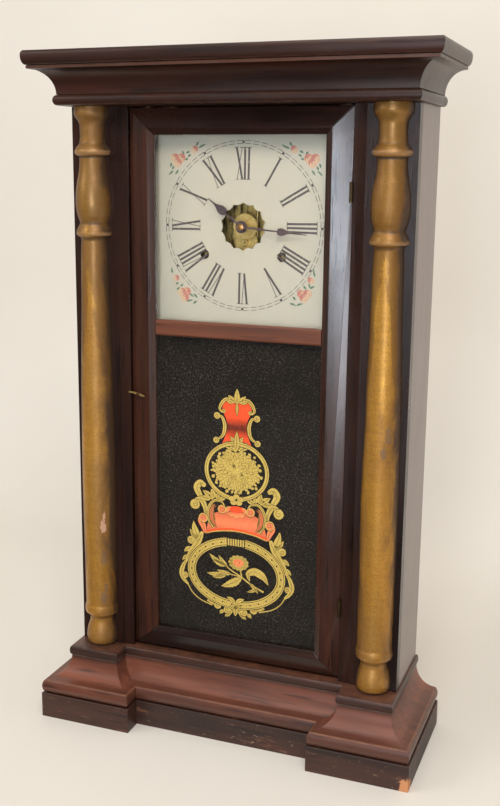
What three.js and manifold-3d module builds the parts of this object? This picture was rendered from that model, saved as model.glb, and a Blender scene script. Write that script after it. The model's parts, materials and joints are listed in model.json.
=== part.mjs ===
// Weight-driven shelf clock: a half-column and cornice case round a thirty-hour brass movement.
// Millimetres, +Z up, +X to the right of the dial, and the dial faces -Y.
// The origin is the middle of the footprint, on the surface that the clock stands on.
import * as THREE from 'three';
import { mergeVertices } from 'three/addons/utils/BufferGeometryUtils.js';
import Module from 'manifold-3d';

const wasm = await Module();
wasm.setup();

// Joints and cuts that the whole clock shares
const glueLine = 0.3;
const running = 0.3;
const overrun = 4;
const weldReach = 0.001;

// Widths, from the movement's bay outwards: partition, weight bay and side board
const boardThick = 10;
const partitionHalf = 92;
const partitionThick = 5;
const weightRadius = 22;
const weightPlay = 4.8;
const caseHalf = partitionHalf + partitionThick + 2 * (weightRadius + weightPlay) + boardThick;
const interiorHalf = caseHalf - boardThick - glueLine;
const weightX = caseHalf - boardThick - weightPlay - weightRadius;
const columnStrip = 55.3;
const doorwayHalf = caseHalf - columnStrip;
const columnBoardWidth = 44.5;
const columnBoardInner = caseHalf - columnBoardWidth;
const blockLap = 15.7;
const blockInner = doorwayHalf - blockLap;

// Heights, from the surface that the clock stands on upwards
const plinthHeight = 25.2;
const baseBeadHeight = 13.2;
const baseCoveHeight = 21.9;
const shelfHeight = 8.9;
const doorwayHeight = 519.65;
const corniceBeadHeight = 9.65;
const corniceCoveHeight = 21.2;
const corniceFillet = 3;
const capHeight = 12.3;
const baseBeadTop = plinthHeight + baseBeadHeight;
const baseCoveTop = baseBeadTop + baseCoveHeight;
const doorwaySill = baseCoveTop + shelfHeight;
const doorwayHead = doorwaySill + doorwayHeight;
const corniceBeadTop = doorwayHead + corniceBeadHeight;
const corniceCoveTop = corniceBeadTop + corniceCoveHeight;
const capTop = corniceCoveTop + corniceFillet + capHeight;
const sideDrop = 7;
const sideTop = capTop - sideDrop;
const floorDrop = 3.2;
const floorBoardTop = doorwaySill - floorDrop;
const topBoardRise = 1.15;
const topBoardBottom = doorwayHead + topBoardRise;

// Depths, from the plane of the front stiles back: door, dial, motion work, plates, cleats and back board
const stileThick = 9;
const columnBoardThick = 1.2;
const glassFront = 8;
const glassThick = 2;
const doorBack = 12;
const dialGap = 7.5;
const dialThick = 1;
const motionGap = 4.7;
const motionStep = 3.4;
const pendulumGap = 4.4;
const escapeGap = 3.6;
const plateGap = 2.4;
const plateThick = 1.5;
const equalGap = 1.2;
const drumGap = 3.1;
const drumLength = 12.8;
const strikeThirdGap = 7.5;
const thirdGap = 11.5;
const greatGap = 1.2;
const greatThick = 1.6;
const secondGap = 3.8;
const wheelThick = 1.2;
const backGap = 1.8;
const cleatThick = 8.2;
const backThick = 8;
const interiorFront = stileThick + glueLine;
const dialFront = doorBack + dialGap;
const partitionFront = dialFront + dialThick + glueLine;
const hourWheelDepth = dialFront + dialThick + motionGap;
const minuteWheelDepth = hourWheelDepth + motionStep;
const pendulumDepth = minuteWheelDepth + pendulumGap;
const escapeDepth = pendulumDepth + escapeGap;
const frontPlate = escapeDepth + plateGap;
const plateFrontBack = frontPlate + plateThick;
const equalDepth = plateFrontBack + equalGap;
const drumFront = plateFrontBack + drumGap;
const drumBack = drumFront + drumLength;
const cordDepth = (drumFront + drumBack) / 2;
const strikeThirdDepth = plateFrontBack + strikeThirdGap;
const thirdDepth = plateFrontBack + thirdGap;
const greatDepth = drumBack + greatGap;
const secondDepth = greatDepth + greatThick + secondGap;
const backPlate = secondDepth + wheelThick + backGap;
const interiorBack = backPlate + plateThick + glueLine + cleatThick;
const caseDepth = interiorBack + glueLine + backThick;

// Base mouldings: how far each level stands proud of the case side
const plinthProud = 23.9;
const plinthChamfer = 0.5;
const baseBeadProud = 23.4;
const baseBeadRoot = 20.1;
const baseCoveProud = 1.2;
const shelfNoseProud = 2.9;
const blockProud = 23.9;
const recessProud = 3.75;

// Cornice mouldings, in the same terms
const corniceFrontProud = 19.9;
const corniceBeadProud = 5.9;
const corniceBeadRoot = 2.4;
const corniceCoveFoot = 3.2;
const corniceCoveProud = 21.4;
const corniceFilletProud = 22.2;
const capProud = 25.7;
const capTopProud = 24.2;
const capRoundShare = 0.63;
const capEaseShare = 0.1;
const beadSteps = 5;
const coveSteps = 6;

// Half columns, turned from one billet and sawn down the middle
const columnInset = 21.6;
const columnX = caseHalf - columnInset;
const columnSides = 20;
const columnRing = 17.14;

// Door frame: the sight opening, and the widths of the two bevels round it
const frameSide = 24.9;
const frameFoot = 23.5;
const frameHead = 25;
const sightHalf = doorwayHalf - frameSide;
const sightBottom = doorwaySill + frameFoot;
const sightTop = doorwayHead - frameHead;
const innerBevel = 6.6;
const ridgeDepth = 0.8;
const ridgeFall = 0.3;
const ridgeFlat = 1;
const sightDepth = 3.6;
const doorEdgeDepth = 4;
const doorSideGap = 0.9;
const doorSillGap = 2.6;
const doorHeadGap = 1.6;
const glassRabbet = 4;
const dialDrop = 80.15;
const dialZ = sightTop - dialDrop;
const crossbarDrop = 86.3;
const crossbarHeight = 14.9;
const crossbarTop = dialZ - crossbarDrop;
const crossbarBottom = crossbarTop - crossbarHeight;
const crossbarDepth = 2.9;
const crossbarRound = 1.5;

// Hinges and the hook catch
const hingeAxisDepth = -2.2;
const knuckleRadius = 1.7;
const hingePinRadius = 0.7;
const hingeLength = 17;
const hingeLeafThick = 0.7;
const hingeLeafDepth = 9;
const hingeHeadGap = 72.85;
const hingeSillGap = 72.8;
const hingeHeights = { upper: doorwayHead - hingeHeadGap, lower: doorwaySill + hingeSillGap };
const hookInset = 8.3;
const hookRise = 256.8;
const hookPivotX = hookInset - doorwayHalf;
const hookPivotZ = doorwaySill + hookRise;
const hookReach = 9.6;
const hookTail = 6.4;
const hookWidth = 1.5;
const hookThick = 0.8;
const hookStand = 0.4;
const hookScrewRadius = 1.5;
const screwTopShare = 0.8;
const pinSides = 12;

// Dial and hands
const dialLap = 14.1;
const dialHeadLap = 14.35;
const dialFootLap = 8.2;
const dialHalf = sightHalf + dialLap;
const apertureScallops = 14;
const apertureRadius = 21.8;
const scallopDepth = 2.2;
const scallopShares = [[0, 0], [0.12, 0.42], [0.3, 0.84], [0.5, 1], [0.7, 0.84], [0.88, 0.42]];
const windX = 37.2;
const windDrop = 25.8;
const windHoleRadius = 4.4;
const handThick = 0.8;
const handStem = 0.95;
const handSlim = 0.65;
const handSteps = 7;
const handHubWall = 2.4;
const colletRadius = 3.2;
const colletHeight = 0.95;
const colletEdge = 0.4;
const pipeWall = 1.2;
const hourHandGap = 4.9;
const handStep = 2.2;
const hourHandDepth = dialFront - hourHandGap;
const minuteHandDepth = hourHandDepth - handStep;
const minuteHandLength = 62;
const minuteBulb = 38.8;
const minuteBulbHalf = 3.3;
const hourHandLength = 40.5;
const hourBulb = 24;
const hourBulbHalf = 3.9;
const bulbShares = [-1.2, -0.5, 0.9, 1.5, 2.6];
const minuteHandAngle = 95;
const hourHandAngle = 307.6;

// Movement frame
const plateCrown = 15.03;
const pillarSideInset = 14;
const pillarInset = 7;
const pillarRadius = 3;
const tenonRadius = 1.8;
const tenonReach = 1;
const cleatHeight = 16;
const windowMargin = 14;
const windowSideInset = 12;
const windowSideWidth = 10;
const windowSideRise = 22;
const windowMiddleLeft = -10;
const windowMiddleRight = -3.2;
const windowLowerLeft = 4;
const windowLowerRight = 12;
const windowCentreGap = 8;
const windowMotionGap = 6;
const pivotRadius = 0.9;
const arborRadius = 1.4;
const drumShaftRadius = 1.7;
const arborSides = 8;
const endShake = 0.4;

// Wheel trains: tooth counts, and modules as millimetres of pitch diameter to a tooth
const greatTeeth = 52;
const greatModule = 1.1;
const greatPinion = 8;
const equalTeeth = 24;
const equalModule = 0.8125;
const secondTeeth = 64;
const secondModule = 0.55;
const thirdPinion = 8;
const thirdTeeth = 60;
const thirdModule = 0.576;
const escapePinion = 6;
const escapeTeeth = 42;
const escapeRadius = 15;
const escapeThick = 0.96;
const palletRise = 22;
const thirdBearing = -11.7;
const escapeBearing = -19.7;
const strikeSecondTeeth = 48;
const strikeSecondModule = 0.733;
const strikeThirdPinion = 6;
const strikeThirdTeeth = 48;
const strikeThirdModule = 0.576;
const flyPinion = 6;
const strikeThirdBearing = 11.7;
const flyBearing = -35.5;
const countBearing = 149.6;
const countTeeth = 48;
const countPinion = 24;
const countModule = 0.875;
const cannonTeeth = 12;
const minuteTeeth = 36;
const minutePinion = 10;
const hourTeeth = 40;
const motionDistance = 14.4;
const pinionOverhang = 0.8;
const sawDepth = 1.08;
const sawLeanShare = 0.12;
const liftPins = 6;
const liftPinCircle = 12.5;
const liftPinTurn = 12;
const liftPinRadius = 0.7;
const liftPinReach = 1.9;
const liftPinRoot = 0.2;

// Drums, cords, pulleys and weights
const drumRadius = 11.5;
const drumFlange = 15.5;
const flangeThick = 1.6;
const ratchetTeeth = 20;
const squareHalf = 1.7;
const squareGap = 2.9;
const squareFront = dialFront + dialThick + squareGap;
const squareRoot = 3;
const squareCollar = 2.38;
const squareCollarReach = 2.5;
const squareCollarFront = frontPlate - squareCollarReach;
const cordRadius = 0.9;
const cordSides = 8;
const pulleyRadius = 19;
const pulleyGroove = 16;
const pulleyWidth = 8;
const pulleyLip = 1.2;
const pulleyPin = 1.5;
const pulleyRise = 16;
const pulleyZ = topBoardBottom + pulleyRise;
const pulleyPlay = 1.5;
const slotPlay = 11;
const saddleHalf = 8;
const saddleThick = 5;
const weightRest = 6;
const weightBottom = floorBoardTop + weightRest;
const weightHeight = 115;
const weightFootRound = 2;
const weightShoulder = 8;
const weightCrown = 2;
const weightCrownInset = 5;
const weightEye = 4;
const weightHookHeight = 18;
const weightHookWire = 1.2;
const weightHookNarrow = 2.5;
const weightHookRoot = 3;
const weightHookStraight = 6;
const weightHookBend = 3.4;

// Pendulum, hammer, fly and gong
const pendulumLength = 282;
const rodRadius = 0.75;
const bobRadius = 24;
const bobThick = 9;
const bobSides = 24;
const bobShares = [[0, -1], [0.55, -0.93], [0.9, -0.5], [1, 0], [0.9, 0.5], [0.55, 0.93], [0, 1]];
const rodEndShare = 0.5;
const nutRadius = 2.4;
const nutHeight = 3;
const nutBite = 0.4;
const palletClear = 1.2;
const palletSpread = 38;
const palletThick = 1.6;
const palletNose = 1.2;
const palletRoot = 4.8;
const palletInner = 4.1;
const palletWaist = 0.7;
const vergeWall = 1.3;
const vergePlay = 0.6;
const crutchWidth = 1.4;
const crutchThick = 0.8;
const crutchClear = 1.1;
const crutchDrop = 44;
const yokeHeight = 1.6;
const springHalf = 0.3;
const springDeep = 1.3;
const postRadius = 2.4;
const postReach = 1.6;
const postRise = 8;
const vergePinReach = 2.2;
const vaneHalf = 11;
const vaneThick = 0.8;
const vaneFrontGap = 4;
const vaneBackGap = 1.5;
const vaneFront = strikeThirdDepth + vaneFrontGap;
const vaneBack = secondDepth - vaneBackGap;
const gongX = -20;
const gongRise = 84;
const gongStand = 14.5;
const gongZ = floorBoardTop + gongRise;
const gongDepth = interiorBack - gongStand;
const gongInner = 9;
const gongOuter = 41;
const gongTurns = 4.5;
const gongWire = 1.4;
const gongSteps = 24;
const gongBossRadius = 4.2;
const gongBossFoot = 9;
const gongFlangeRadius = 21;
const gongFlangeThick = 3;
const gongShoulderRadius = 12;
const gongShoulderThick = 7;
const gongLugReach = 2;
const gongLugHeight = 3.6;
const hammerX = -58;
const hammerRise = 2.3;
const hammerZ = dialZ + hammerRise;
const hammerWire = 1;
const hammerStraight = 60;
const hammerBend = 90;
const hammerBendShare = 0.6;
const hammerHeadOut = 39.98;
const hammerHeadUp = 31.06;
const hammerHeadX = gongX - hammerHeadOut;
const hammerHeadZ = gongZ + hammerHeadUp;
const hammerHeadRadius = 5;
const hammerHeadHalf = 6;
const hammerHeadChamfer = 0.4;
const hammerHeadEdge = 1;
const hammerTurn = 40;
const hammerTailGap = 15.2;
const hammerTailRise = 5;
const leverInset = 4;
const leverSpan = 40.74;
const leverLift = 5.27;
const leverRise = 18;
const leverWire = 0.6;
const leverClear = 0.8;
const leverTail = 24;
const leverTailLean = 1;

// Finishes
function finish(color, roughness, metalness = 0) {
  return new THREE.MeshStandardMaterial({ color, roughness, metalness });
}
const mahogany = finish(0x3a1a12, 0.35);
const darkCase = finish(0x2b1714, 0.4);
const pine = finish(0x9a7146, 0.75);
const gilt = finish(0x8a6424, 0.45, 0.5);
const brass = finish(0xb08a3c, 0.35, 0.9);
const steel = finish(0x6c6c70, 0.4, 0.9);
const bluedSteel = finish(0x2a1f26, 0.45, 0.7);
const castIron = finish(0x35322f, 0.7, 0.6);
const dialPaint = finish(0xe4e2cf, 0.5);
const clearGlass = finish(0xdfe8e6, 0.05);
const blackGlass = finish(0x15100d, 0.2);
const cordCotton = finish(0xb9a57c, 0.9);

// Geometry helpers

// Keep only welded positions, drop slivers and point every face outwards
function closed(geometry) {
  const bare = geometry.clone();
  for (const name of Object.keys(bare.attributes)) {
    if (name !== 'position') bare.deleteAttribute(name);
  }
  const welded = mergeVertices(bare, weldReach);
  const corners = welded.index.array;
  const kept = [];
  for (let i = 0; i < corners.length; i += 3) {
    const [a, b, c] = [corners[i], corners[i + 1], corners[i + 2]];
    if (a !== b && b !== c && c !== a) kept.push(a, b, c);
  }
  const at = (i) => new THREE.Vector3().fromBufferAttribute(welded.attributes.position, i);
  let volume = 0;
  for (let i = 0; i < kept.length; i += 3) {
    volume += at(kept[i]).dot(at(kept[i + 1]).cross(at(kept[i + 2])));
  }
  if (volume < 0) kept.reverse();
  welded.setIndex(kept);
  return welded;
}

function solid(geometry) {
  if (geometry instanceof wasm.Manifold) return geometry;
  const shell = closed(geometry);
  return new wasm.Manifold(new wasm.Mesh({
    numProp: 3,
    vertProperties: new Float32Array(shell.attributes.position.array),
    triVerts: new Uint32Array(shell.index.array),
  }));
}

function join(first, ...rest) {
  return rest.reduce((sum, next) => sum.add(solid(next)), solid(first));
}

function cut(body, ...tools) {
  return tools.reduce((left, tool) => left.subtract(solid(tool)), solid(body));
}

function shellOf(body) {
  const mesh = body.getMesh();
  const geometry = new THREE.BufferGeometry();
  geometry.setAttribute('position', new THREE.Float32BufferAttribute(mesh.vertProperties, 3));
  geometry.setIndex([...mesh.triVerts]);
  return geometry;
}

// Skin a row of like outlines and close both ends; flat gives the outline that the end caps are cut from
function skinned(rings, flat) {
  const count = rings[0].length;
  const index = [];
  for (let k = 0; k + 1 < rings.length; k++) {
    for (let i = 0; i < count; i++) {
      const j = (i + 1) % count;
      const [a, b, c, d] = [k * count + i, k * count + j, (k + 1) * count + i, (k + 1) * count + j];
      index.push(a, b, d, a, d, c);
    }
  }
  const cap = THREE.ShapeUtils.triangulateShape(flat.map(([u, v]) => new THREE.Vector2(u, v)), []);
  const last = (rings.length - 1) * count;
  const turn = THREE.ShapeUtils.area(flat.map(([u, v]) => new THREE.Vector2(u, v))) < 0;
  for (const [a, b, c] of cap) {
    index.push(...(turn ? [a, b, c] : [c, b, a]));
    index.push(...(turn ? [last + c, last + b, last + a] : [last + a, last + b, last + c]));
  }
  const geometry = new THREE.BufferGeometry();
  geometry.setAttribute('position', new THREE.Float32BufferAttribute(rings.flat(2), 3));
  geometry.setIndex(index);
  return geometry;
}

function block(x0, x1, y0, y1, z0, z1) {
  const box = new THREE.BoxGeometry(x1 - x0, y1 - y0, z1 - z0);
  return box.translate((x0 + x1) / 2, (y0 + y1) / 2, (z0 + z1) / 2);
}

// Outlines run anticlockwise, so that the walls of their holes face the right way
function shapeOf(points) {
  const corners = points.map(([u, v]) => new THREE.Vector2(u, v));
  return new THREE.Shape(THREE.ShapeUtils.isClockWise(corners) ? corners.reverse() : corners);
}

// A flat piece whose outline lies in X and Z, from depth y0 back to y1
function sheet(shape, y0, y1, curveSegments = 6) {
  const slab = new THREE.ExtrudeGeometry(shape, { depth: y1 - y0, bevelEnabled: false, curveSegments });
  return slab.rotateX(Math.PI / 2).translate(0, y1, 0);
}

// A turned piece: pairs of radius and place along its axis, which runs front to back or upright
function turnedAlongY(profile, sides = arborSides) {
  return new THREE.LatheGeometry(profile.map(([r, y]) => new THREE.Vector2(r, y)), sides);
}

function turnedAlongZ(profile, sides) {
  return turnedAlongY(profile, sides).rotateX(Math.PI / 2);
}

function rod(radius, y0, y1, sides = arborSides) {
  return turnedAlongY([[0, y0], [radius, y0], [radius, y1], [0, y1]], sides);
}

// A round wire along a curve
function wire(curve, radius, sides, steps) {
  const section = [];
  for (let i = 0; i < sides; i++) {
    const angle = (2 * Math.PI * i) / sides;
    section.push([radius * Math.cos(angle), radius * Math.sin(angle)]);
  }
  return new THREE.ExtrudeGeometry(shapeOf(section), { steps, extrudePath: curve, bevelEnabled: false });
}

function line(from, to) {
  return new THREE.LineCurve3(new THREE.Vector3(...from), new THREE.Vector3(...to));
}

// Where two circles round a and b meet; side picks which of the two meeting points
function meeting(a, ra, b, rb, side) {
  const gap = Math.hypot(b[0] - a[0], b[1] - a[1]);
  const along = (ra * ra - rb * rb + gap * gap) / (2 * gap);
  const across = Math.sqrt(Math.max(ra * ra - along * along, 0)) * side;
  const [ux, uz] = [(b[0] - a[0]) / gap, (b[1] - a[1]) / gap];
  return [a[0] + ux * along - uz * across, a[1] + uz * along + ux * across];
}

function offsetFrom(point, distance, degrees) {
  const angle = THREE.MathUtils.degToRad(degrees);
  return [point[0] + distance * Math.sin(angle), point[1] + distance * Math.cos(angle)];
}

// The object's tree: one group holds the stile plane where the base overhang centres the footprint
const clock = new THREE.Group();
clock.name = 'weight_shelf_clock';
const carcase = new THREE.Group();
carcase.position.y = (plinthProud + blockProud - caseDepth) / 2;
clock.add(carcase);

function put(name, shape, material, x = 0, y = 0, z = 0) {
  const geometry = shape instanceof wasm.Manifold ? shellOf(shape) : closed(shape);
  const mesh = new THREE.Mesh(geometry, material);
  mesh.name = name;
  mesh.position.set(x, y, z);
  carcase.add(mesh);
  return mesh;
}

// Profiles of mouldings: lists of [proud, height]

// Half-round nose between two heights
function nose(root, proud, bottom, top) {
  const [middle, half] = [(bottom + top) / 2, (top - bottom) / 2];
  const points = [];
  for (let i = 0; i <= beadSteps; i++) {
    const angle = (Math.PI * i) / beadSteps;
    points.push([root + (proud - root) * Math.sin(angle), middle - half * Math.cos(angle)]);
  }
  return points;
}

// Quarter hollow that leaves the wall and sweeps out level
function hollow(wall, proud, wallZ, proudZ) {
  const points = [];
  for (let i = 0; i <= coveSteps; i++) {
    const angle = (Math.PI * i) / (2 * coveSteps);
    points.push([wall + (proud - wall) * (1 - Math.cos(angle)), wallZ + (proudZ - wallZ) * Math.sin(angle)]);
  }
  return points;
}

// Base: three mouldings that break forward under each column

// Outline of the base at one level: two returns, two forward blocks and the recess between them
function baseOutline(proud) {
  const side = caseHalf + proud;
  const inner = blockInner + plinthProud - proud;
  const wall = caseHalf + glueLine;
  return [
    [-side, caseDepth], [-side, -proud - blockProud], [-inner, -proud - blockProud],
    [-inner, -proud - recessProud], [inner, -proud - recessProud], [inner, -proud - blockProud],
    [side, -proud - blockProud], [side, caseDepth], [wall, caseDepth], [wall, stileThick],
    [-wall, stileThick], [-wall, caseDepth],
  ];
}

function moulding(levels, outline) {
  const rings = levels.map(([proud, z]) => outline(proud).map(([x, y]) => [x, y, z]));
  return skinned(rings, outline(levels[0][0]));
}

function makeBase() {
  const plinth = [
    [plinthProud, 0], [plinthProud, plinthHeight - plinthChamfer - glueLine],
    [plinthProud - plinthChamfer, plinthHeight - glueLine],
  ];
  const bead = nose(baseBeadRoot, baseBeadProud, plinthHeight, baseBeadTop);
  const cove = hollow(baseCoveProud, baseBeadRoot, baseCoveTop - glueLine, baseBeadTop).reverse();
  const shelf = nose(baseCoveProud, shelfNoseProud, baseCoveTop, doorwaySill);
  put('base_plinth', moulding(plinth, baseOutline), mahogany);
  put('base_moulding', moulding([...bead, ...cove.slice(1), ...shelf], baseOutline), mahogany);
}

// Cornice: bead, cove and cap, mitred round the front and both sides

function corniceOutline(proud) {
  const side = caseHalf + proud;
  const wall = caseHalf + glueLine;
  return [
    [-side, caseDepth], [-side, -proud - corniceFrontProud], [side, -proud - corniceFrontProud],
    [side, caseDepth], [wall, caseDepth], [wall, stileThick], [-wall, stileThick], [-wall, caseDepth],
  ];
}

function makeCornice() {
  const bead = nose(corniceBeadRoot, corniceBeadProud, doorwayHead, corniceBeadTop - glueLine);
  const cove = [
    ...hollow(corniceCoveFoot, corniceCoveProud, corniceBeadTop, corniceCoveTop),
    [corniceFilletProud, corniceCoveTop], [corniceFilletProud, corniceCoveTop + corniceFillet - glueLine],
  ];
  const capFoot = corniceCoveTop + corniceFillet;
  const cap = [];
  for (let i = 0; i <= beadSteps; i++) {
    const angle = (Math.PI / 2) * (i / beadSteps);
    cap.push([
      corniceFilletProud + (capProud - corniceFilletProud) * Math.sin(angle),
      capFoot + (capTop - capFoot) * capRoundShare * (1 - Math.cos(angle)),
    ]);
  }
  cap.push([(capProud + capTopProud) / 2, capTop - (capTop - capFoot) * capEaseShare], [capTopProud, capTop]);
  put('cornice_moulding', moulding([...bead, ...cove], corniceOutline), mahogany);
  put('cornice_cap', moulding(cap, corniceOutline), mahogany);
}

// Carcase boards

// Mirror a box that is given for the right-hand side
function sided(side, x0, x1, ...rest) {
  return side > 0 ? block(x0, x1, ...rest) : block(-x1, -x0, ...rest);
}

// A front stile: the strip beside the door, with the board that backs the half column standing proud
function frontStile(side) {
  const [foot, head] = [doorwaySill + glueLine, doorwayHead - glueLine];
  const strip = sided(side, doorwayHalf, caseHalf, 0, stileThick, foot, head);
  const board = sided(side, columnBoardInner, caseHalf, -columnBoardThick, stileThick / 2, foot, head);
  if (side < 0) return join(strip, board, catchStud());
  return cut(join(strip, board), ...Object.values(hingeHeights).map((height) => hingeMortise(height, 1)));
}

function makeCarcase() {
  const [foot, head] = [floorBoardTop + glueLine, topBoardBottom - glueLine];
  for (const [side, name] of [[-1, 'left'], [1, 'right']]) {
    const outer = sided(side, caseHalf - boardThick, caseHalf, interiorFront, caseDepth, 0, sideTop);
    const inner = partitionHalf + partitionThick;
    put(`case_side_${name}`, outer, darkCase);
    put(`front_stile_${name}`, frontStile(side), darkCase);
    const partition = sided(side, partitionHalf, inner, partitionFront, interiorBack, foot, head);
    put(`weight_partition_${name}`, partition, pine);
  }
  const floorBottom = floorBoardTop - boardThick;
  const floor = block(-interiorHalf, interiorHalf, interiorFront, interiorBack, floorBottom, floorBoardTop);
  put('floor_board', floor, pine);

  // The movement is screwed to two cleats on the back board
  const back = block(-interiorHalf, interiorHalf, interiorBack + glueLine, caseDepth, 0, sideTop);
  const cleatFront = backPlate + plateThick + glueLine;
  const cleatHalf = partitionHalf - glueLine;
  const cleats = [plateBottom, plateTop - cleatHeight].map((z) => block(
    -cleatHalf, cleatHalf, cleatFront, caseDepth - backThick / 2, z, z + cleatHeight,
  ));
  put('back_board', join(back, ...cleats), pine);
}

// Top board: a slot for each pulley, and a saddle block each side of it that holds the axle wire
function makeTopBoard() {
  const boardTop = topBoardBottom + boardThick;
  let board = solid(block(-interiorHalf, interiorHalf, interiorFront, interiorBack, topBoardBottom, boardTop));
  const slotHalf = pulleyWidth / 2 + pulleyPlay;
  const slotReach = pulleyRadius + slotPlay;
  const axleHalf = slotHalf + saddleThick;
  for (const side of [-1, 1]) {
    const x = side * (weightX - pulleyGroove);
    board = cut(board, block(
      x - slotReach, x + slotReach, cordDepth - slotHalf, cordDepth + slotHalf,
      topBoardBottom - overrun, boardTop + overrun,
    ));
    for (const end of [-1, 1]) {
      const [near, far] = [cordDepth + end * slotHalf, cordDepth + end * axleHalf];
      board = join(board, block(
        x - saddleHalf, x + saddleHalf, Math.min(near, far), Math.max(near, far),
        boardTop - saddleThick, pulleyZ + 2 * pulleyPin,
      ));
    }
    board = join(board, rod(pulleyPin, cordDepth - axleHalf, cordDepth + axleHalf).translate(x, 0, pulleyZ));
  }
  put('top_board', board, pine);
}

// Half columns

// Radius against height: rings, vase, long swelling shaft, ring and ball foot
function columnProfile() {
  const foot = doorwaySill + glueLine;
  const head = doorwayHead - glueLine;
  const rise = head - foot;
  const columnShares = [
    [0.8, 0], [0.9, 0.006], [0.93, 0.014], [0.91, 0.022], [0.86, 0.031], [0.78, 0.04],
    [0.73, 0.046], [0.72, 0.053], [0.8, 0.058], [0.94, 0.062], [1.0, 0.068], [0.98, 0.076],
    [0.93, 0.08], [0.935, 0.1], [0.98, 0.335], [0.945, 0.482],
    [0.815, 0.665], [0.765, 0.76], [0.745, 0.769], [0.8, 0.775], [0.97, 0.779], [1.0, 0.783],
    [0.94, 0.79], [0.8, 0.8], [0.92, 0.814], [1.0, 0.834], [0.98, 0.852], [0.9, 0.872],
    [0.81, 0.888], [0.76, 0.908], [0.76, 0.915], [0.95, 0.919], [1.0, 0.924], [0.9, 0.931],
    [0.75, 0.938], [0.71, 0.95], [0.72, 0.967], [0.76, 0.973], [0.84, 0.978], [0.95, 0.983],
    [1.0, 0.989], [0.98, 1],
  ];
  return columnShares.map(([radius, height]) => [columnRing * radius, foot + rise * height]);
}

function makeColumns() {
  const profile = columnProfile();
  const [foot, head] = [profile[0][1], profile[profile.length - 1][1]];
  const billet = turnedAlongZ([[0, foot], ...profile, [0, head]], columnSides);
  const face = -columnBoardThick - glueLine;
  const reach = 2 * columnRing;
  const sawn = cut(billet, block(-reach, reach, 0, reach, foot - overrun, head + overrun));
  put('half_column_left', sawn, gilt, -columnX, face, 0);
  put('half_column_right', sawn, gilt, columnX, face, 0);
}

// Door: mitred stiles and rails, crossbar and two panes

const door = {
  half: doorwayHalf - doorSideGap,
  bottom: doorwaySill + doorSillGap,
  top: doorwayHead - doorHeadGap,
};

// Section points of the frame: where each lies between the outer edge and the sight edge, and its depth
function frameSection() {
  return [
    { edge: 'outer', inset: 0, depth: doorEdgeDepth },
    { edge: 'ridge', inset: 0, depth: ridgeDepth + ridgeFall },
    { edge: 'ridge', inset: ridgeFlat, depth: ridgeDepth },
    { edge: 'sight', inset: 0, depth: sightDepth },
    { edge: 'sight', inset: 0, depth: glassFront },
    { edge: 'sight', inset: -glassRabbet, depth: glassFront },
    { edge: 'sight', inset: -glassRabbet, depth: doorBack },
    { edge: 'outer', inset: 0, depth: doorBack },
  ];
}

// The rectangle that one section point draws round the door
function frameLoop({ edge, inset }) {
  if (edge === 'outer') return { half: door.half, bottom: door.bottom, top: door.top };
  const out = edge === 'ridge' ? innerBevel - inset : -inset;
  return { half: sightHalf + out, bottom: sightBottom - out, top: sightTop + out };
}

function makeDoorFrame() {
  const section = frameSection();
  const loops = section.map(frameLoop);
  const mitre = glueLine / 2;
  const mitreFace = section.map((s, i) => [loops[i].half, s.depth]);
  for (const [side, name] of [[-1, 'left'], [1, 'right']]) {
    const lower = section.map((s, i) => [side * loops[i].half, s.depth, loops[i].bottom + mitre]);
    const upper = section.map((s, i) => [side * loops[i].half, s.depth, loops[i].top - mitre]);
    const stile = skinned([lower, upper], mitreFace);
    const mortises = Object.values(hingeHeights).map((height) => hingeMortise(height, -1));
    put(`door_stile_${name}`, side > 0 ? cut(stile, ...mortises) : join(stile, catchScrew()), mahogany);
  }
  for (const [level, name] of [['bottom', 'lower'], ['top', 'upper']]) {
    const left = section.map((s, i) => [-loops[i].half + mitre, s.depth, loops[i][level]]);
    const right = section.map((s, i) => [loops[i].half - mitre, s.depth, loops[i][level]]);
    put(`door_rail_${name}`, skinned([left, right], mitreFace), mahogany);
  }
}

function makeDoorPanes() {
  const rabbet = glassRabbet - glueLine;
  const half = sightHalf + rabbet;
  const bar = shapeOf([
    [crossbarDepth + crossbarRound, crossbarBottom], [crossbarDepth, crossbarBottom + crossbarRound],
    [crossbarDepth, crossbarTop - crossbarRound], [crossbarDepth + crossbarRound, crossbarTop],
    [glassFront, crossbarTop], [glassFront, crossbarTop - glassRabbet], [doorBack, crossbarTop - glassRabbet],
    [doorBack, crossbarBottom + glassRabbet], [glassFront, crossbarBottom + glassRabbet],
    [glassFront, crossbarBottom],
  ]);
  const barHalf = sightHalf - glueLine;
  const length = new THREE.ExtrudeGeometry(bar, { depth: 2 * barHalf, bevelEnabled: false });
  const [alongX, alongY, alongZ] = [[1, 0, 0], [0, 1, 0], [0, 0, 1]].map((way) => new THREE.Vector3(...way));
  length.applyMatrix4(new THREE.Matrix4().makeBasis(alongY, alongZ, alongX));
  put('door_crossbar', length.translate(-barHalf, 0, 0), mahogany);
  const [front, back] = [glassFront + glueLine, glassFront + glueLine + glassThick];
  const upper = block(-half, half, front, back, crossbarTop - rabbet, sightTop + rabbet);
  const lower = block(-half, half, front, back, sightBottom - rabbet, crossbarBottom + rabbet);
  put('dial_glass', upper, clearGlass);
  put('tablet_glass', lower, blackGlass);
}

// Hinges: a case leaf with the pin and two knuckles, a door leaf with the middle knuckle

const hingeX = doorwayHalf - doorSideGap / 2;

// The leaf's recess in the door edge (side -1) or in the case stile (side 1)
function hingeMortise(height, side) {
  const half = hingeLength / 2 + glueLine;
  const deep = hingeX + side * (hingeLeafThick + glueLine);
  const open = hingeX - side * overrun;
  const [left, right] = [Math.min(deep, open), Math.max(deep, open)];
  return block(left, right, hingeAxisDepth - overrun, hingeLeafDepth + glueLine, height - half, height + half);
}

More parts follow.
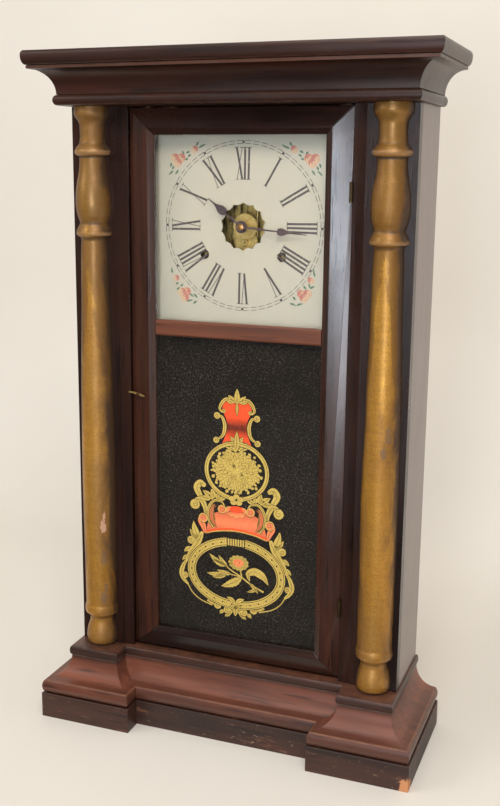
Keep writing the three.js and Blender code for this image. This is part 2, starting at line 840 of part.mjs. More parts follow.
function makeHinges() {
  const half = hingeLength / 2;
  const third = hingeLength / 6;
  const leafBack = hingeLeafDepth - hingeAxisDepth;
  const post = (radius, z0, z1) => turnedAlongZ([[0, z0], [radius, z0], [radius, z1], [0, z1]], pinSides);
  const reach = knuckleRadius + overrun;
  const notch = (z0, z1) => block(-reach, reach, -reach, knuckleRadius + running, z0, z1);
  const caseLeaf = cut(block(glueLine / 2, hingeLeafThick, 0, leafBack, -half, half), notch(-third, third));
  const doorLeaf = cut(
    block(-hingeLeafThick, -glueLine / 2, 0, leafBack, -half, half),
    notch(third - running, half + overrun), notch(-half - overrun, running - third),
  );
  const fixed = join(
    caseLeaf, post(knuckleRadius, -half, -third), post(knuckleRadius, third, half),
    post(hingePinRadius, -half, half),
  );
  const bore = post(hingePinRadius + running, -half, half);
  const moving = cut(join(doorLeaf, post(knuckleRadius, running - third, third - running)), bore);
  for (const [name, height] of Object.entries(hingeHeights)) {
    put(`hinge_case_leaf_${name}`, fixed, brass, hingeX, hingeAxisDepth, height);
    put(`hinge_door_leaf_${name}`, moving, brass, hingeX, hingeAxisDepth, height);
  }
}

// Hook catch on the left door stile, resting on a stud in the case stile

const hookBack = -running - hookStand;
const hookFront = hookBack - hookThick;
const hookTipDrop = hookWidth / 2;

function makeCatch() {
  const half = hookWidth / 2;
  const [belowShare, aboveShare] = [1.2, 1.4];
  const bar = new THREE.Shape();
  bar.moveTo(-hookReach, half + hookWidth);
  bar.lineTo(-hookReach, hookTipDrop);
  bar.quadraticCurveTo(-hookReach / 2, half, 0, -half * belowShare);
  bar.lineTo(hookTail, -half - hookWidth);
  bar.lineTo(hookTail + half, -hookWidth);
  bar.quadraticCurveTo(hookTail / 2, half, 0, half * aboveShare);
  bar.quadraticCurveTo(-hookReach / 2, half + hookWidth, -hookReach, half + hookWidth);
  const boss = rod(hookScrewRadius, hookFront, hookBack, pinSides);
  const bore = rod(hookScrewRadius / 2 + running, hookFront - overrun, hookBack + overrun, pinSides);
  put('catch_hook', cut(join(sheet(bar, hookFront, hookBack), boss), bore), brass, hookPivotX, 0, hookPivotZ);
}

// The screw that the hook turns on: its head in front of the hook, its shank in the door stile
function catchScrew() {
  const shank = hookScrewRadius / 2;
  const head = hookFront - running;
  return turnedAlongY([
    [0, head - hookThick], [hookScrewRadius * screwTopShare, head - hookThick], [hookScrewRadius, head],
    [shank, head], [shank, doorBack / 2], [0, doorBack / 2],
  ], pinSides).translate(hookPivotX, 0, hookPivotZ);
}

// The stud that the tip of the hook rests on
function catchStud() {
  const radius = hookWidth / 2;
  const z = hookPivotZ + hookTipDrop - radius - running;
  return rod(radius, hookFront - running, stileThick / 2, pinSides).translate(-doorwayHalf - radius, 0, z);
}

// Wheels and pinions

// Pointed teeth: a tooth stands on the line at the given bearing, measured clockwise from the top.
// A wheel has a point and a notch to each tooth; a pinion has narrow leaves with a flat root between.
function toothOutline(teeth, module, bearing, leaves) {
  const [tipShare, leafShare] = [0.75, 0.3];
  const pitch = (teeth * module) / 2;
  const tip = pitch + tipShare * module;
  const root = pitch - module;
  const step = (2 * Math.PI) / teeth;
  const stations = leaves ? [[-leafShare, root], [0, tip], [leafShare, root]] : [[0, tip], [1 / 2, root]];
  const points = [];
  for (let i = 0; i < teeth; i++) {
    for (const [share, radius] of stations) {
      const angle = bearing + (i + share) * step;
      points.push([radius * Math.sin(angle), radius * Math.cos(angle)]);
    }
  }
  return points;
}

// Bearing that puts a tooth, or a space, on the line from one arbor to another
function bearingTo(from, to) {
  return Math.atan2(to[0] - from[0], to[1] - from[1]);
}

// A wheel or pinion with a tooth, or with space set a gap, on the line to the wheel that it meets
function wheel(set) {
  const { teeth, module, mate, at, depth, thick = wheelThick } = set;
  const { crossings = 0, bore = 0, pinion = false, space = false } = set;
  const step = (2 * Math.PI) / teeth;
  const bearing = bearingTo(at, mate) + (space ? step / 2 : 0);
  const shape = shapeOf(toothOutline(teeth, module, bearing, pinion));
  const [rimShare, hubShare] = [3.2, 0.26];
  const rim = (teeth * module) / 2 - rimShare * module;
  const windowShares = [[0.14, 1], [0.38, 1], [0.62, 1], [0.86, 1], [0.73, hubShare], [0.27, hubShare]];
  for (let i = 0; i < crossings; i++) {
    const window = windowShares.map(([turn, out]) => {
      const angle = (2 * Math.PI * (i + turn)) / crossings;
      return new THREE.Vector2(rim * out * Math.sin(angle), rim * out * Math.cos(angle));
    });
    shape.holes.push(new THREE.Path(window));
  }
  const body = sheet(shape, depth, depth + thick);
  return bore > 0 ? cut(body, rod(bore, depth - overrun, depth + thick + overrun)) : solid(body);
}

// A pinion as wide as the wheel that drives it, with a little over at each end
function pinionFor(set) {
  const { depth, thick = wheelThick } = set;
  const wide = { depth: depth - pinionOverhang, thick: thick + 2 * pinionOverhang };
  return wheel({ space: true, ...set, ...wide, pinion: true });
}

// Arbor centres, as [x, z]
const centre = [0, dialZ];
const windRight = [windX, dialZ - windDrop];
const windLeft = [-windX, dialZ - windDrop];
const greatDistance = (greatModule * (greatTeeth + greatPinion)) / 2;
const equalDistance = equalModule * equalTeeth;
const second = meeting(windRight, greatDistance, centre, equalDistance, -1);
const strikeSecond = [-second[0], second[1]];
const third = offsetFrom(second, (secondModule * (secondTeeth + thirdPinion)) / 2, thirdBearing);
const escape = offsetFrom(third, (thirdModule * (thirdTeeth + escapePinion)) / 2, escapeBearing);
const pallet = [escape[0], escape[1] + palletRise];
const strikeThirdDistance = (strikeSecondModule * (strikeSecondTeeth + strikeThirdPinion)) / 2;
const strikeThird = offsetFrom(strikeSecond, strikeThirdDistance, strikeThirdBearing);
const fly = offsetFrom(strikeThird, (strikeThirdModule * (strikeThirdTeeth + flyPinion)) / 2, flyBearing);
const count = offsetFrom(windLeft, (countModule * (countTeeth + countPinion)) / 2, countBearing);
const lever = [count[0] - leverSpan, count[1] + leverLift];
const hammer = [hammerX, hammerZ];
const motion = [centre[0], centre[1] - motionDistance];
const cannonModule = (2 * motionDistance) / (cannonTeeth + minuteTeeth);
const hourModule = (2 * motionDistance) / (minutePinion + hourTeeth);

// The plates reach a little past the outermost pivots
const plateHalf = leverInset - lever[0];
const plateBottom = lever[1] - leverRise;
const plateTop = pallet[1] + plateCrown;

// An arbor between the plates: a body with a fine pivot at each end
function arbor(frontPivot = frontPlate) {
  const [front, back, end] = [plateFrontBack + endShake, backPlate - endShake, backPlate + plateThick];
  return turnedAlongY([
    [0, frontPivot], [pivotRadius, frontPivot], [pivotRadius, front], [arborRadius, front],
    [arborRadius, back], [pivotRadius, back], [pivotRadius, end], [0, end],
  ]);
}

const shaftBore = drumShaftRadius + running;

// Going train, motion work and hands
function makeGoingTrain() {
  const equal = { teeth: equalTeeth, module: equalModule, depth: equalDepth };
  const cannon = { teeth: cannonTeeth, module: cannonModule, depth: minuteWheelDepth };
  const collet = minuteHandDepth - running;
  const [back, end] = [backPlate - endShake, backPlate + plateThick];
  const centreShaft = turnedAlongY([
    [0, collet - colletHeight], [pivotRadius, collet - colletHeight], [colletRadius, collet - colletEdge],
    [colletRadius, collet], [arborRadius, collet], [arborRadius, back], [pivotRadius, back],
    [pivotRadius, end], [0, end],
  ]);
  put('centre_arbor', join(
    centreShaft, wheel({ ...equal, mate: second, at: centre }),
    pinionFor({ ...cannon, mate: motion, at: centre, space: false }),
  ), brass, centre[0], 0, centre[1]);

  const reach = minuteWheelDepth - hourWheelDepth;
  const studBore = rod(pivotRadius + running, hourWheelDepth - overrun, minuteWheelDepth + 2 * overrun);
  put('minute_wheel', cut(join(
    wheel({ ...cannon, teeth: minuteTeeth, mate: centre, at: motion, space: true }),
    pinionFor({
      teeth: minutePinion, module: hourModule, mate: centre, at: motion,
      depth: hourWheelDepth, thick: reach, space: false,
    }),
  ), studBore), brass, motion[0], 0, motion[1]);

  const pipeBore = arborRadius + running;
  const pipeOuter = pipeBore + pipeWall;
  const pipe = rod(pipeOuter, hourHandDepth - running, hourWheelDepth + wheelThick);
  const hourWheel = wheel({
    teeth: hourTeeth, module: hourModule, mate: motion, at: centre, depth: hourWheelDepth, space: true,
  });
  const bored = cut(join(hourWheel, pipe), rod(pipeBore, hourHandDepth - overrun, hourWheelDepth + overrun));
  put('hour_wheel', bored, brass, centre[0], 0, centre[1]);

  const hourHand = handSheet(hourHandLength, hourBulb, hourBulbHalf, pipeOuter + running, hourHandDepth);
  const hour = put('hour_hand', hourHand, bluedSteel, centre[0], 0, centre[1]);
  hour.rotation.y = THREE.MathUtils.degToRad(hourHandAngle);
  const minuteHand = handSheet(minuteHandLength, minuteBulb, minuteBulbHalf, pipeBore, minuteHandDepth);
  const minute = put('minute_hand', minuteHand, bluedSteel, centre[0], 0, centre[1]);
  minute.rotation.y = THREE.MathUtils.degToRad(minuteHandAngle);

  const great = { module: greatModule, depth: greatDepth, thick: greatThick };
  put('time_great_wheel', wheel({
    ...great, teeth: greatTeeth, mate: second, at: windRight, crossings: 4, bore: shaftBore,
  }), brass, windRight[0], 0, windRight[1]);

  put('time_second_wheel', join(
    arbor(), pinionFor({ ...great, teeth: greatPinion, mate: windRight, at: second }),
    wheel({ ...equal, mate: centre, at: second, space: true }),
    wheel({ teeth: secondTeeth, module: secondModule, mate: third, at: second, depth: secondDepth }),
  ), brass, second[0], 0, second[1]);

  put('time_third_wheel', join(
    arbor(),
    pinionFor({ teeth: thirdPinion, module: secondModule, mate: second, at: third, depth: secondDepth }),
    wheel({ teeth: thirdTeeth, module: thirdModule, mate: escape, at: third, depth: thirdDepth }),
  ), brass, third[0], 0, third[1]);

  put('escape_wheel', join(
    arbor(escapeDepth), ratchetDisc(escapeTeeth, escapeRadius, escapeDepth, escapeThick, 1),
    pinionFor({ teeth: escapePinion, module: thirdModule, mate: third, at: escape, depth: thirdDepth }),
  ), brass, escape[0], 0, escape[1]);
}

// A disc with saw teeth that lean one way
function ratchetDisc(teeth, radius, depth, thick, lean) {
  const step = (2 * Math.PI) / teeth;
  const root = radius - sawDepth;
  const points = [];
  for (let i = 0; i < teeth; i++) {
    const [tip, notch] = [i * step, (i + sawLeanShare) * step];
    points.push([lean * radius * Math.sin(tip), radius * Math.cos(tip)]);
    points.push([lean * root * Math.sin(notch), root * Math.cos(notch)]);
  }
  return sheet(shapeOf(points), depth, depth + thick);
}

// A hand pointing up: ring hub, tapering stem, spade-shaped bulb and needle tip
function handSheet(length, bulb, bulbHalf, bore, depth) {
  const hub = bore + handHubWall;
  const [foot, base, shoulder, waist, neck] = bulbShares.map((share) => bulb + share * bulbHalf);
  const edge = new THREE.Path();
  edge.moveTo(handStem, hub - handStem);
  edge.lineTo(handSlim, foot);
  edge.bezierCurveTo(bulbHalf, foot, bulbHalf, base, bulbHalf, bulb);
  edge.bezierCurveTo(bulbHalf, shoulder, handSlim, waist, handSlim, neck);
  edge.lineTo(handSlim / 2, length);
  const right = edge.getPoints(handSteps).map((point) => [point.x, point.y]);
  const left = right.map(([x, z]) => [-x, z]).reverse();
  const back = depth + handThick;
  const blank = join(sheet(shapeOf([...right, ...left]), depth, back), rod(hub, depth, back, 16));
  return cut(blank, rod(bore, depth - overrun, back + overrun, pinSides));
}

// Verge on its pin, with the crutch that embraces the pendulum rod
function makeEscapement() {
  const tipRadius = escapeRadius + palletClear;
  const spread = THREE.MathUtils.degToRad(palletSpread);
  const [tipX, tipZ] = [tipRadius * Math.sin(spread), tipRadius * Math.cos(spread) - palletRise];
  const collarOuter = pivotRadius + running + vergeWall;
  const outer = tipX + palletNose;
  const arm = [
    [outer, tipZ + palletRoot], [outer, tipZ + palletNose], [tipX, tipZ],
    [tipX - palletWaist, tipZ + palletInner],
  ];
  const anchor = shapeOf([
    [0, collarOuter], ...arm, [0, -collarOuter], ...arm.map(([x, z]) => [-x, z]).reverse(),
  ]);
  const crutchFront = pendulumDepth + rodRadius + crutchClear;
  const crutchBack = crutchFront + crutchThick;
  const collarBack = frontPlate - vergePlay;
  const prong = rodRadius + running;
  const [yokeTop, yokeFoot] = [-crutchDrop, -crutchDrop - yokeHeight];
  const yokeHalf = prong + crutchThick;
  const prongFront = pendulumDepth - rodRadius - crutchThick;
  const body = join(
    sheet(anchor, escapeDepth, escapeDepth + palletThick), rod(collarOuter, crutchFront, collarBack, pinSides),
    block(-crutchWidth / 2, crutchWidth / 2, crutchFront, crutchBack, yokeTop, 0),
    block(-yokeHalf, yokeHalf, crutchFront, crutchBack, yokeFoot, yokeTop),
    ...[-1, 1].map((side) => sided(side, prong, yokeHalf, prongFront, crutchBack, yokeFoot, yokeTop)),
  );
  const pinBore = rod(pivotRadius + running, crutchBack, collarBack + overrun);
  put('verge', cut(body, pinBore), steel, pallet[0], 0, pallet[1]);

  const rodFoot = bobRadius * rodEndShare - pendulumLength;
  const hang = -glueLine / 2;
  const stem = turnedAlongZ([[0, rodFoot], [rodRadius, rodFoot], [rodRadius, hang], [0, hang]], arborSides);
  const bob = turnedAlongY(bobShares.map(([out, deep]) => [bobRadius * out, (bobThick / 2) * deep]), bobSides);
  const nut = turnedAlongZ([[0, -nutHeight], [nutRadius, -nutHeight], [nutRadius, 0], [0, 0]], arborSides);
  const pendulum = join(
    stem, bob.translate(0, 0, -pendulumLength), nut.translate(0, 0, nutBite - bobRadius - pendulumLength),
  );
  put('pendulum', pendulum, brass, pallet[0], pendulumDepth, pallet[1]);
}

// Striking train
function makeStrikeTrain() {
  const great = { module: greatModule, depth: greatDepth, thick: greatThick };
  const greatWheel = wheel({ ...great, teeth: greatTeeth, mate: strikeSecond, at: windLeft, crossings: 4 });
  const driverDepth = greatDepth + greatThick;
  const driver = wheel({
    teeth: countPinion, module: countModule, mate: count, at: windLeft,
    depth: driverDepth, thick: secondDepth + wheelThick - driverDepth,
  });
  const bored = cut(join(greatWheel, driver), rod(shaftBore, drumFront, backPlate));
  put('strike_great_wheel', bored, brass, windLeft[0], 0, windLeft[1]);

  const strikeGear = { module: strikeSecondModule, depth: secondDepth };
  const pins = [];
  for (let i = 0; i < liftPins; i++) {
    const [x, z] = offsetFrom([0, 0], liftPinCircle, (360 * i) / liftPins + liftPinTurn);
    pins.push(rod(liftPinRadius, secondDepth - liftPinReach, secondDepth + liftPinRoot, 6).translate(x, 0, z));
  }
  put('strike_second_wheel', join(
    arbor(), pinionFor({ ...great, teeth: greatPinion, mate: windLeft, at: strikeSecond }),
    wheel({ ...strikeGear, teeth: strikeSecondTeeth, mate: strikeThird, at: strikeSecond }), ...pins,
  ), brass, strikeSecond[0], 0, strikeSecond[1]);

  const flyGear = { module: strikeThirdModule, depth: strikeThirdDepth };
  put('strike_third_wheel', join(
    arbor(), pinionFor({ ...strikeGear, teeth: strikeThirdPinion, mate: strikeSecond, at: strikeThird }),
    wheel({ ...flyGear, teeth: strikeThirdTeeth, mate: fly, at: strikeThird }),
  ), brass, strikeThird[0], 0, strikeThird[1]);

  const vane = block(-vaneHalf, vaneHalf, vaneFront, vaneBack, -vaneThick / 2, vaneThick / 2);
  put('fly', join(
    arbor(), pinionFor({ ...flyGear, teeth: flyPinion, mate: strikeThird, at: fly }), vane,
  ), brass, fly[0], 0, fly[1]);

  const countGear = wheel({
    teeth: countTeeth, module: countModule, mate: windLeft, at: count,
    depth: secondDepth, space: true, crossings: 4,
  });
  put('count_wheel', join(arbor(), countGear), brass, count[0], 0, count[1]);

  const bladeDepth = secondDepth + wheelThick / 2;
  const rim = (countTeeth * countModule) / 2 + countModule + leverClear;
  const bladeEnd = [count[0] - lever[0] - rim, bladeDepth, count[1] - lever[1]];
  const tailDepth = (drumFront + drumBack) / 2;
  put('count_lever', join(
    arbor(), wire(line([0, bladeDepth, 0], bladeEnd), leverWire, 6, 1),
    wire(line([0, tailDepth, 0], [-leverTailLean, tailDepth, leverTail]), leverWire, 6, 1),
  ), steel, lever[0], 0, lever[1]);
}

// Hammer: tail among the pins of the second wheel, long wire down to the gong
function makeHammer() {
  const [headX, headZ] = [hammerHeadX - hammerX, hammerHeadZ - hammerZ];
  const stem = new THREE.CatmullRomCurve3([
    [0, 0], [0, -hammerStraight], [0, -hammerBend],
    [headX * hammerBendShare, headZ + hammerStraight], [headX, headZ],
  ].map(([x, z]) => new THREE.Vector3(x, gongDepth, z)));
  const [pinX, pinZ] = [strikeSecond[0] - hammerX, strikeSecond[1] - hammerZ];
  const tailEnd = [pinX - hammerTailGap, gongDepth, pinZ + hammerTailRise];
  const [face, rim] = [hammerHeadRadius - hammerHeadChamfer, hammerHeadHalf - hammerHeadEdge];
  const head = turnedAlongZ([
    [0, -hammerHeadHalf], [face, -hammerHeadHalf], [hammerHeadRadius, -rim],
    [hammerHeadRadius, rim], [face, hammerHeadHalf], [0, hammerHeadHalf],
  ], pinSides).rotateY(THREE.MathUtils.degToRad(-hammerTurn)).translate(headX, gongDepth, headZ);
  const tail = wire(line([0, gongDepth, 0], tailEnd), liftPinRadius, 6, 1);
  put('hammer', join(arbor(), wire(stem, hammerWire, 6, 9), tail, head), steel, hammer[0], 0, hammer[1]);
}

// Plates, with the pivot holes drilled from the same centres as the arbors
function makePlates() {
  const [before, beyond] = [frontPlate - overrun, backPlate + plateThick + overrun];
  const hole = (at, radius) => rod(radius, before, beyond, 6).translate(at[0], 0, at[1]);
  const pivots = [second, third, strikeSecond, strikeThird, fly, count, lever, hammer];
  const pivotHoles = pivots.map((at) => hole(at, pivotRadius + running));
  const pillars = [];
  const pillarX = plateHalf - pillarSideInset;
  for (const x of [-pillarX, pillarX]) {
    for (const z of [plateBottom + pillarInset, plateTop - pillarInset]) pillars.push([x, z]);
  }
  const window = (x0, x1, z0, z1) => block(x0, x1, before, beyond, z0, z1);
  const [low, high] = [plateBottom + windowMargin, plateTop - windowMargin];
  const sideOuter = plateHalf - windowSideInset;
  const sideInner = sideOuter - windowSideWidth;
  const windows = [
    window(-sideOuter, -sideInner, low, high),
    window(sideInner, sideOuter, low + windowSideRise, high),
    window(windowMiddleLeft, windowMiddleRight, low, dialZ - windowCentreGap),
    window(windowMiddleLeft, windowMiddleRight, dialZ + windowCentreGap, high),
    window(windowLowerLeft, windowLowerRight, low, dialZ - motionDistance - windowMotionGap),
  ];

  // The motion stud, the verge pin and the post with the suspension ribbon stand on the front plate
  const frontSheet = block(-plateHalf, plateHalf, frontPlate, plateFrontBack, plateBottom, plateTop);
  const studFront = hourWheelDepth - 2 * pinionOverhang;
  const vergeFront = pendulumDepth + rodRadius + vergePinReach;
  const postZ = pallet[1] + postRise;
  const fixtures = [
    rod(pivotRadius, studFront, plateFrontBack).translate(motion[0], 0, motion[1]),
    rod(pivotRadius, vergeFront, plateFrontBack).translate(pallet[0], 0, pallet[1]),
    rod(postRadius, pendulumDepth - postReach, plateFrontBack, pinSides).translate(pallet[0], 0, postZ),
    block(
      pallet[0] - springHalf, pallet[0] + springHalf, pendulumDepth - springDeep, pendulumDepth + springDeep,
      pallet[1] + glueLine / 2, postZ,
    ),
  ];
  const frontHoles = [
    hole(windRight, squareCollar + 2 * running), hole(windLeft, squareCollar + 2 * running),
    hole(centre, arborRadius + running), hole(escape, pivotRadius + running),
    ...pillars.map((at) => hole(at, tenonRadius + running)),
  ];
  const front = cut(frontSheet, ...pivotHoles, ...frontHoles, ...windows);
  put('movement_front_plate', join(front, ...fixtures), brass);

  const backSheet = block(-plateHalf, plateHalf, backPlate, backPlate + plateThick, plateBottom, plateTop);
  const backHoles = [windRight, windLeft, centre, escape].map((at) => hole(at, pivotRadius + running));
  const [tenonEnd, shoulder] = [frontPlate - tenonReach, plateFrontBack + glueLine];
  const root = backPlate + plateThick / 2;
  const columns = pillars.map(([x, z]) => turnedAlongY([
    [0, tenonEnd], [tenonRadius, tenonEnd], [tenonRadius, shoulder], [pillarRadius, shoulder],
    [pillarRadius, root], [0, root],
  ]).translate(x, 0, z));
  put('movement_back_plate', join(cut(backSheet, ...pivotHoles, ...backHoles, ...windows), ...columns), brass);
}

// Drums, cords, pulleys and weights, the same on both sides
function makePower() {
  const [back, end] = [backPlate - endShake, backPlate + plateThick];
  const [rimEnd, ratchetStart] = [drumFront + flangeThick, drumBack - flangeThick];
  const squareBack = plateFrontBack - squareRoot;
  for (const [side, name] of [[-1, 'strike'], [1, 'time']]) {
    const wind = side > 0 ? windRight : windLeft;
    const staff = turnedAlongY([
      [0, squareCollarFront], [squareCollar, squareCollarFront], [squareCollar, plateFrontBack + endShake],
      [drumShaftRadius, plateFrontBack + endShake], [drumShaftRadius, back], [pivotRadius, back],
      [pivotRadius, end], [0, end],
    ]);
    const square = block(-squareHalf, squareHalf, squareFront, squareBack, -squareHalf, squareHalf);
    const barrel = turnedAlongY([
      [0, drumFront], [drumFlange, drumFront], [drumFlange, rimEnd], [drumRadius, rimEnd],
      [drumRadius, ratchetStart], [0, ratchetStart],
    ], 16);
    const ratchet = ratchetDisc(ratchetTeeth, drumFlange, ratchetStart, flangeThick, side);
    put(`${name}_drum`, join(staff, square, barrel, ratchet), brass, wind[0], 0, wind[1]);
    const pulley = [side * (weightX - pulleyGroove), pulleyZ];
    put(`${name}_cord_run`, cordAlong(cordRoute(side, wind, pulley)), cordCotton);

    const cordFoot = weightBottom + weightHeight + weightHookHeight + glueLine;
    const cordHead = pulleyZ - glueLine;
    const drop = turnedAlongZ([
      [0, cordFoot], [cordRadius, cordFoot], [cordRadius, cordHead], [0, cordHead],
    ], cordSides);
    put(`${name}_cord_drop`, drop, cordCotton, side * weightX, cordDepth, 0);

    const [lip, groove] = [pulleyWidth / 2, pulleyGroove - cordRadius - running];
    const bore = pulleyPin + running;
    const sheave = turnedAlongY([
      [bore, -lip], [pulleyRadius, -lip], [pulleyRadius, pulleyLip - lip], [groove, -cordRadius],
      [groove, cordRadius], [pulleyRadius, lip - pulleyLip], [pulleyRadius, lip], [bore, lip], [bore, -lip],
    ], 16);
    put(`${name}_pulley`, sheave, pine, pulley[0], cordDepth, pulley[1]);
    put(`${name}_weight`, weightBody(), castIron, side * weightX, cordDepth, weightBottom);
  }
}

// The cord leaves the inner side of the drum, crosses to the pulley and turns down to the weight
function cordRoute(side, wind, pulley) {
  const drumLine = drumRadius + cordRadius + running;
  const [across, up] = [side * (pulley[0] - wind[0]), pulley[1] - wind[1]];
  const lean = Math.atan2(across, up) - Math.asin((pulleyGroove - drumLine) / Math.hypot(across, up));
  const round = ([x, z], radius, angle) => new THREE.Vector3(
    x - side * radius * Math.cos(angle), cordDepth, z + radius * Math.sin(angle),
  );
  const bends = 8;
  const route = [round(wind, drumLine, lean)];
  for (let i = 0; i <= bends; i++) {
    route.push(round(pulley, pulleyGroove, lean + ((Math.PI - lean) * i) / bends));
  }
  return route;
}

// A cast weight with a wire eye in its crown
function weightBody() {
  const body = turnedAlongZ([
    [0, 0], [weightRadius - weightFootRound, 0], [weightRadius, weightFootRound],
    [weightRadius, weightHeight - weightShoulder],
    [weightRadius - weightCrownInset, weightHeight - weightCrown],
    [weightEye, weightHeight], [0, weightHeight],
  ], 16);
  const top = weightHeight + weightHookHeight - weightHookWire;
  const half = [
    [weightEye, weightHeight - weightHookRoot], [weightEye, weightHeight + weightHookStraight],
    [weightHookNarrow, top + weightHookWire - weightHookBend],
  ];
  const loop = [...half.map(([x, z]) => [-x, z]), [0, top], ...half.reverse()];
  const eye = new THREE.CatmullRomCurve3(loop.map(([x, z]) => new THREE.Vector3(x, 0, z)));
  return join(body, wire(eye, weightHookWire, 6, 10));
}

// A round cord through the given corners, its section kept level with the run of each corner
function cordAlong(points) {
  const flat = [];
  for (let k = 0; k < cordSides; k++) {
    const angle = (2 * Math.PI * k) / cordSides;
    flat.push([cordRadius * Math.cos(angle), cordRadius * Math.sin(angle)]);
  }
  const rings = points.map((point, i) => {
    const way = points[Math.min(i + 1, points.length - 1)].clone().sub(points[Math.max(i - 1, 0)]).normalize();
    return flat.map(([across, deep]) => [point.x - way.z * across, point.y + deep, point.z + way.x * across]);
  });
  return skinned(rings, flat);
}

// Gong: a spiral of steel wire that ends against a lug on a cast block
class Spiral extends THREE.Curve {
  getPoint(t) {
    const tail = 2 * gongWire;
    const lead = tail / (gongTurns * Math.PI * (gongInner + gongOuter) + tail);
    if (t < lead) return new THREE.Vector3(gongInner, 0, tail * (t / lead - 1));
    const run = (t - lead) / (1 - lead);
    const radius = Math.sqrt((gongOuter ** 2 - gongInner ** 2) * run + gongInner ** 2);
    const angle = (2 * Math.PI * gongTurns * (radius - gongInner)) / (gongOuter - gongInner);
    return new THREE.Vector3(radius * Math.cos(angle), 0, radius * Math.sin(angle));
  }
}

function makeGong() {
  const coil = new Spiral();
  const steps = Math.round(gongSteps * gongTurns);
  put('gong_coil', wire(coil, gongWire, 6, steps), bluedSteel, gongX, gongDepth, gongZ);
  const points = coil.getSpacedPoints(10 * steps);
  const nextTurn = 5 * gongSteps;
  let least = Infinity;
  points.forEach((point, i) => {
    for (let j = i + nextTurn; j < points.length; j++) {
      least = Math.min(least, point.distanceTo(points[j]) - 2 * gongWire);
    }
  });
  console.log('gong coil: least gap between turns', least.toFixed(2), 'mm');

  const bossFront = gongDepth - 2 * gongWire - interiorBack;
  const boss = turnedAlongY([
    [0, bossFront], [gongBossRadius, bossFront], [gongBossRadius, -gongBossFoot],
    [gongShoulderRadius, -gongShoulderThick], [gongFlangeRadius, -gongFlangeThick],
    [gongFlangeRadius, 0], [0, 0],
  ], 16);
  const lugTop = -2 * gongWire - glueLine;
  const lugBack = bossFront + 4 * gongWire;
  const lug = block(0, gongInner + gongLugReach, bossFront, lugBack, lugTop - gongLugHeight, lugTop);
  put('gong_base', join(boss, lug), castIron, gongX, interiorBack, gongZ);
}

// Dial: a painted sheet with a scalloped opening and two winding holes
function makeDial() {
  const [foot, head] = [-crossbarDrop - dialFootLap, dialDrop + dialHeadLap];
  const square = shapeOf([[-dialHalf, foot], [dialHalf, foot], [dialHalf, head], [-dialHalf, head]]);
  const scallops = [];
  for (let i = 0; i < apertureScallops; i++) {
    for (const [turn, depth] of scallopShares) {
      const angle = (2 * Math.PI * (i + turn)) / apertureScallops;
      const radius = apertureRadius - scallopDepth * depth;
      scallops.push(new THREE.Vector2(radius * Math.sin(angle), radius * Math.cos(angle)));
    }
  }
  square.holes.push(new THREE.Path(scallops));
  for (const side of [-1, 1]) {
    const hole = new THREE.Path();
    hole.absarc(side * windX, -windDrop, windHoleRadius, 0, 2 * Math.PI);
    square.holes.push(hole);
  }
  put('dial', sheet(square, dialFront, dialFront + dialThick, 8), dialPaint, 0, 0, dialZ);
}

makeBase();
makeCornice();
makeCarcase();
makeTopBoard();
makeColumns();
makeDoorFrame();
makeDoorPanes();
makeHinges();
makeCatch();
makeDial();
makePlates();
makeGoingTrain();
makeEscapement();
makeStrikeTrain();
makeHammer();
makePower();
makeGong();

export default clock;
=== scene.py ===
"""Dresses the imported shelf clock: veneer, gilt columns, painted dial and reverse-painted tablet."""

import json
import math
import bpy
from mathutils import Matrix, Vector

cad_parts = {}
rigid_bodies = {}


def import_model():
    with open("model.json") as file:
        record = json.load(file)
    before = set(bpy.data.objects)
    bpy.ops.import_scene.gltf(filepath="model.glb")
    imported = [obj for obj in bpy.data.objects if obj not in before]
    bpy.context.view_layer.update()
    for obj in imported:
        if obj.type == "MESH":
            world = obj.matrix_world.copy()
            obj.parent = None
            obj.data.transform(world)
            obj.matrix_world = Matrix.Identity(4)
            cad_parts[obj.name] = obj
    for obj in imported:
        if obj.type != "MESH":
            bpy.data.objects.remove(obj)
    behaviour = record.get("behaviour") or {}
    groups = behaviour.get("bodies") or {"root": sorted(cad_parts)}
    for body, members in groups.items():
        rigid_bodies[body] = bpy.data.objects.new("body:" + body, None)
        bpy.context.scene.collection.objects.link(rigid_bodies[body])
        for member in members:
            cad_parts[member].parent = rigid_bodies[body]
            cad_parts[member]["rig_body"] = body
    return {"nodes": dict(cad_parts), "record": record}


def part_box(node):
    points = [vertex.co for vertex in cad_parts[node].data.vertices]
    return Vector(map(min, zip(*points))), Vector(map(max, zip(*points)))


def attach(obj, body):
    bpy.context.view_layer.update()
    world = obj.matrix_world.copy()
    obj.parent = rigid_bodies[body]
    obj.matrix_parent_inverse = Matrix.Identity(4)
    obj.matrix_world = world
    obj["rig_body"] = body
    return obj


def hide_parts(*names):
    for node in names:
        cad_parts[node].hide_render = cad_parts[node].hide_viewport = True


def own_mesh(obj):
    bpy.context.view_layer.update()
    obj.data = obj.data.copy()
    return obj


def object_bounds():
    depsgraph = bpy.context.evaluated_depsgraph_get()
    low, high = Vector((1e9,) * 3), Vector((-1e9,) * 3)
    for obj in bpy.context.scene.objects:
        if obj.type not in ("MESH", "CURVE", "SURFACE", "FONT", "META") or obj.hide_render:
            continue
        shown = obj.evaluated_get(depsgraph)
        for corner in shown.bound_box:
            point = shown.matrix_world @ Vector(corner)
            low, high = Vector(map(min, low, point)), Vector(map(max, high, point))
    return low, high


bl_info = {
    "name": "Weight-driven shelf clock",
    "version": (1, 0, 0),
    "blender": (4, 5, 0),
    "location": "3D View > Sidebar > Shelf Clock",
    "description": "Builds the finishes, turnings, dial and tablet of a shelf clock round its frame",
    "category": "Object",
}

import bmesh
import bpy
import numpy as np
from bpy.props import FloatProperty, FloatVectorProperty, IntProperty, PointerProperty
from mathutils import Matrix, Vector

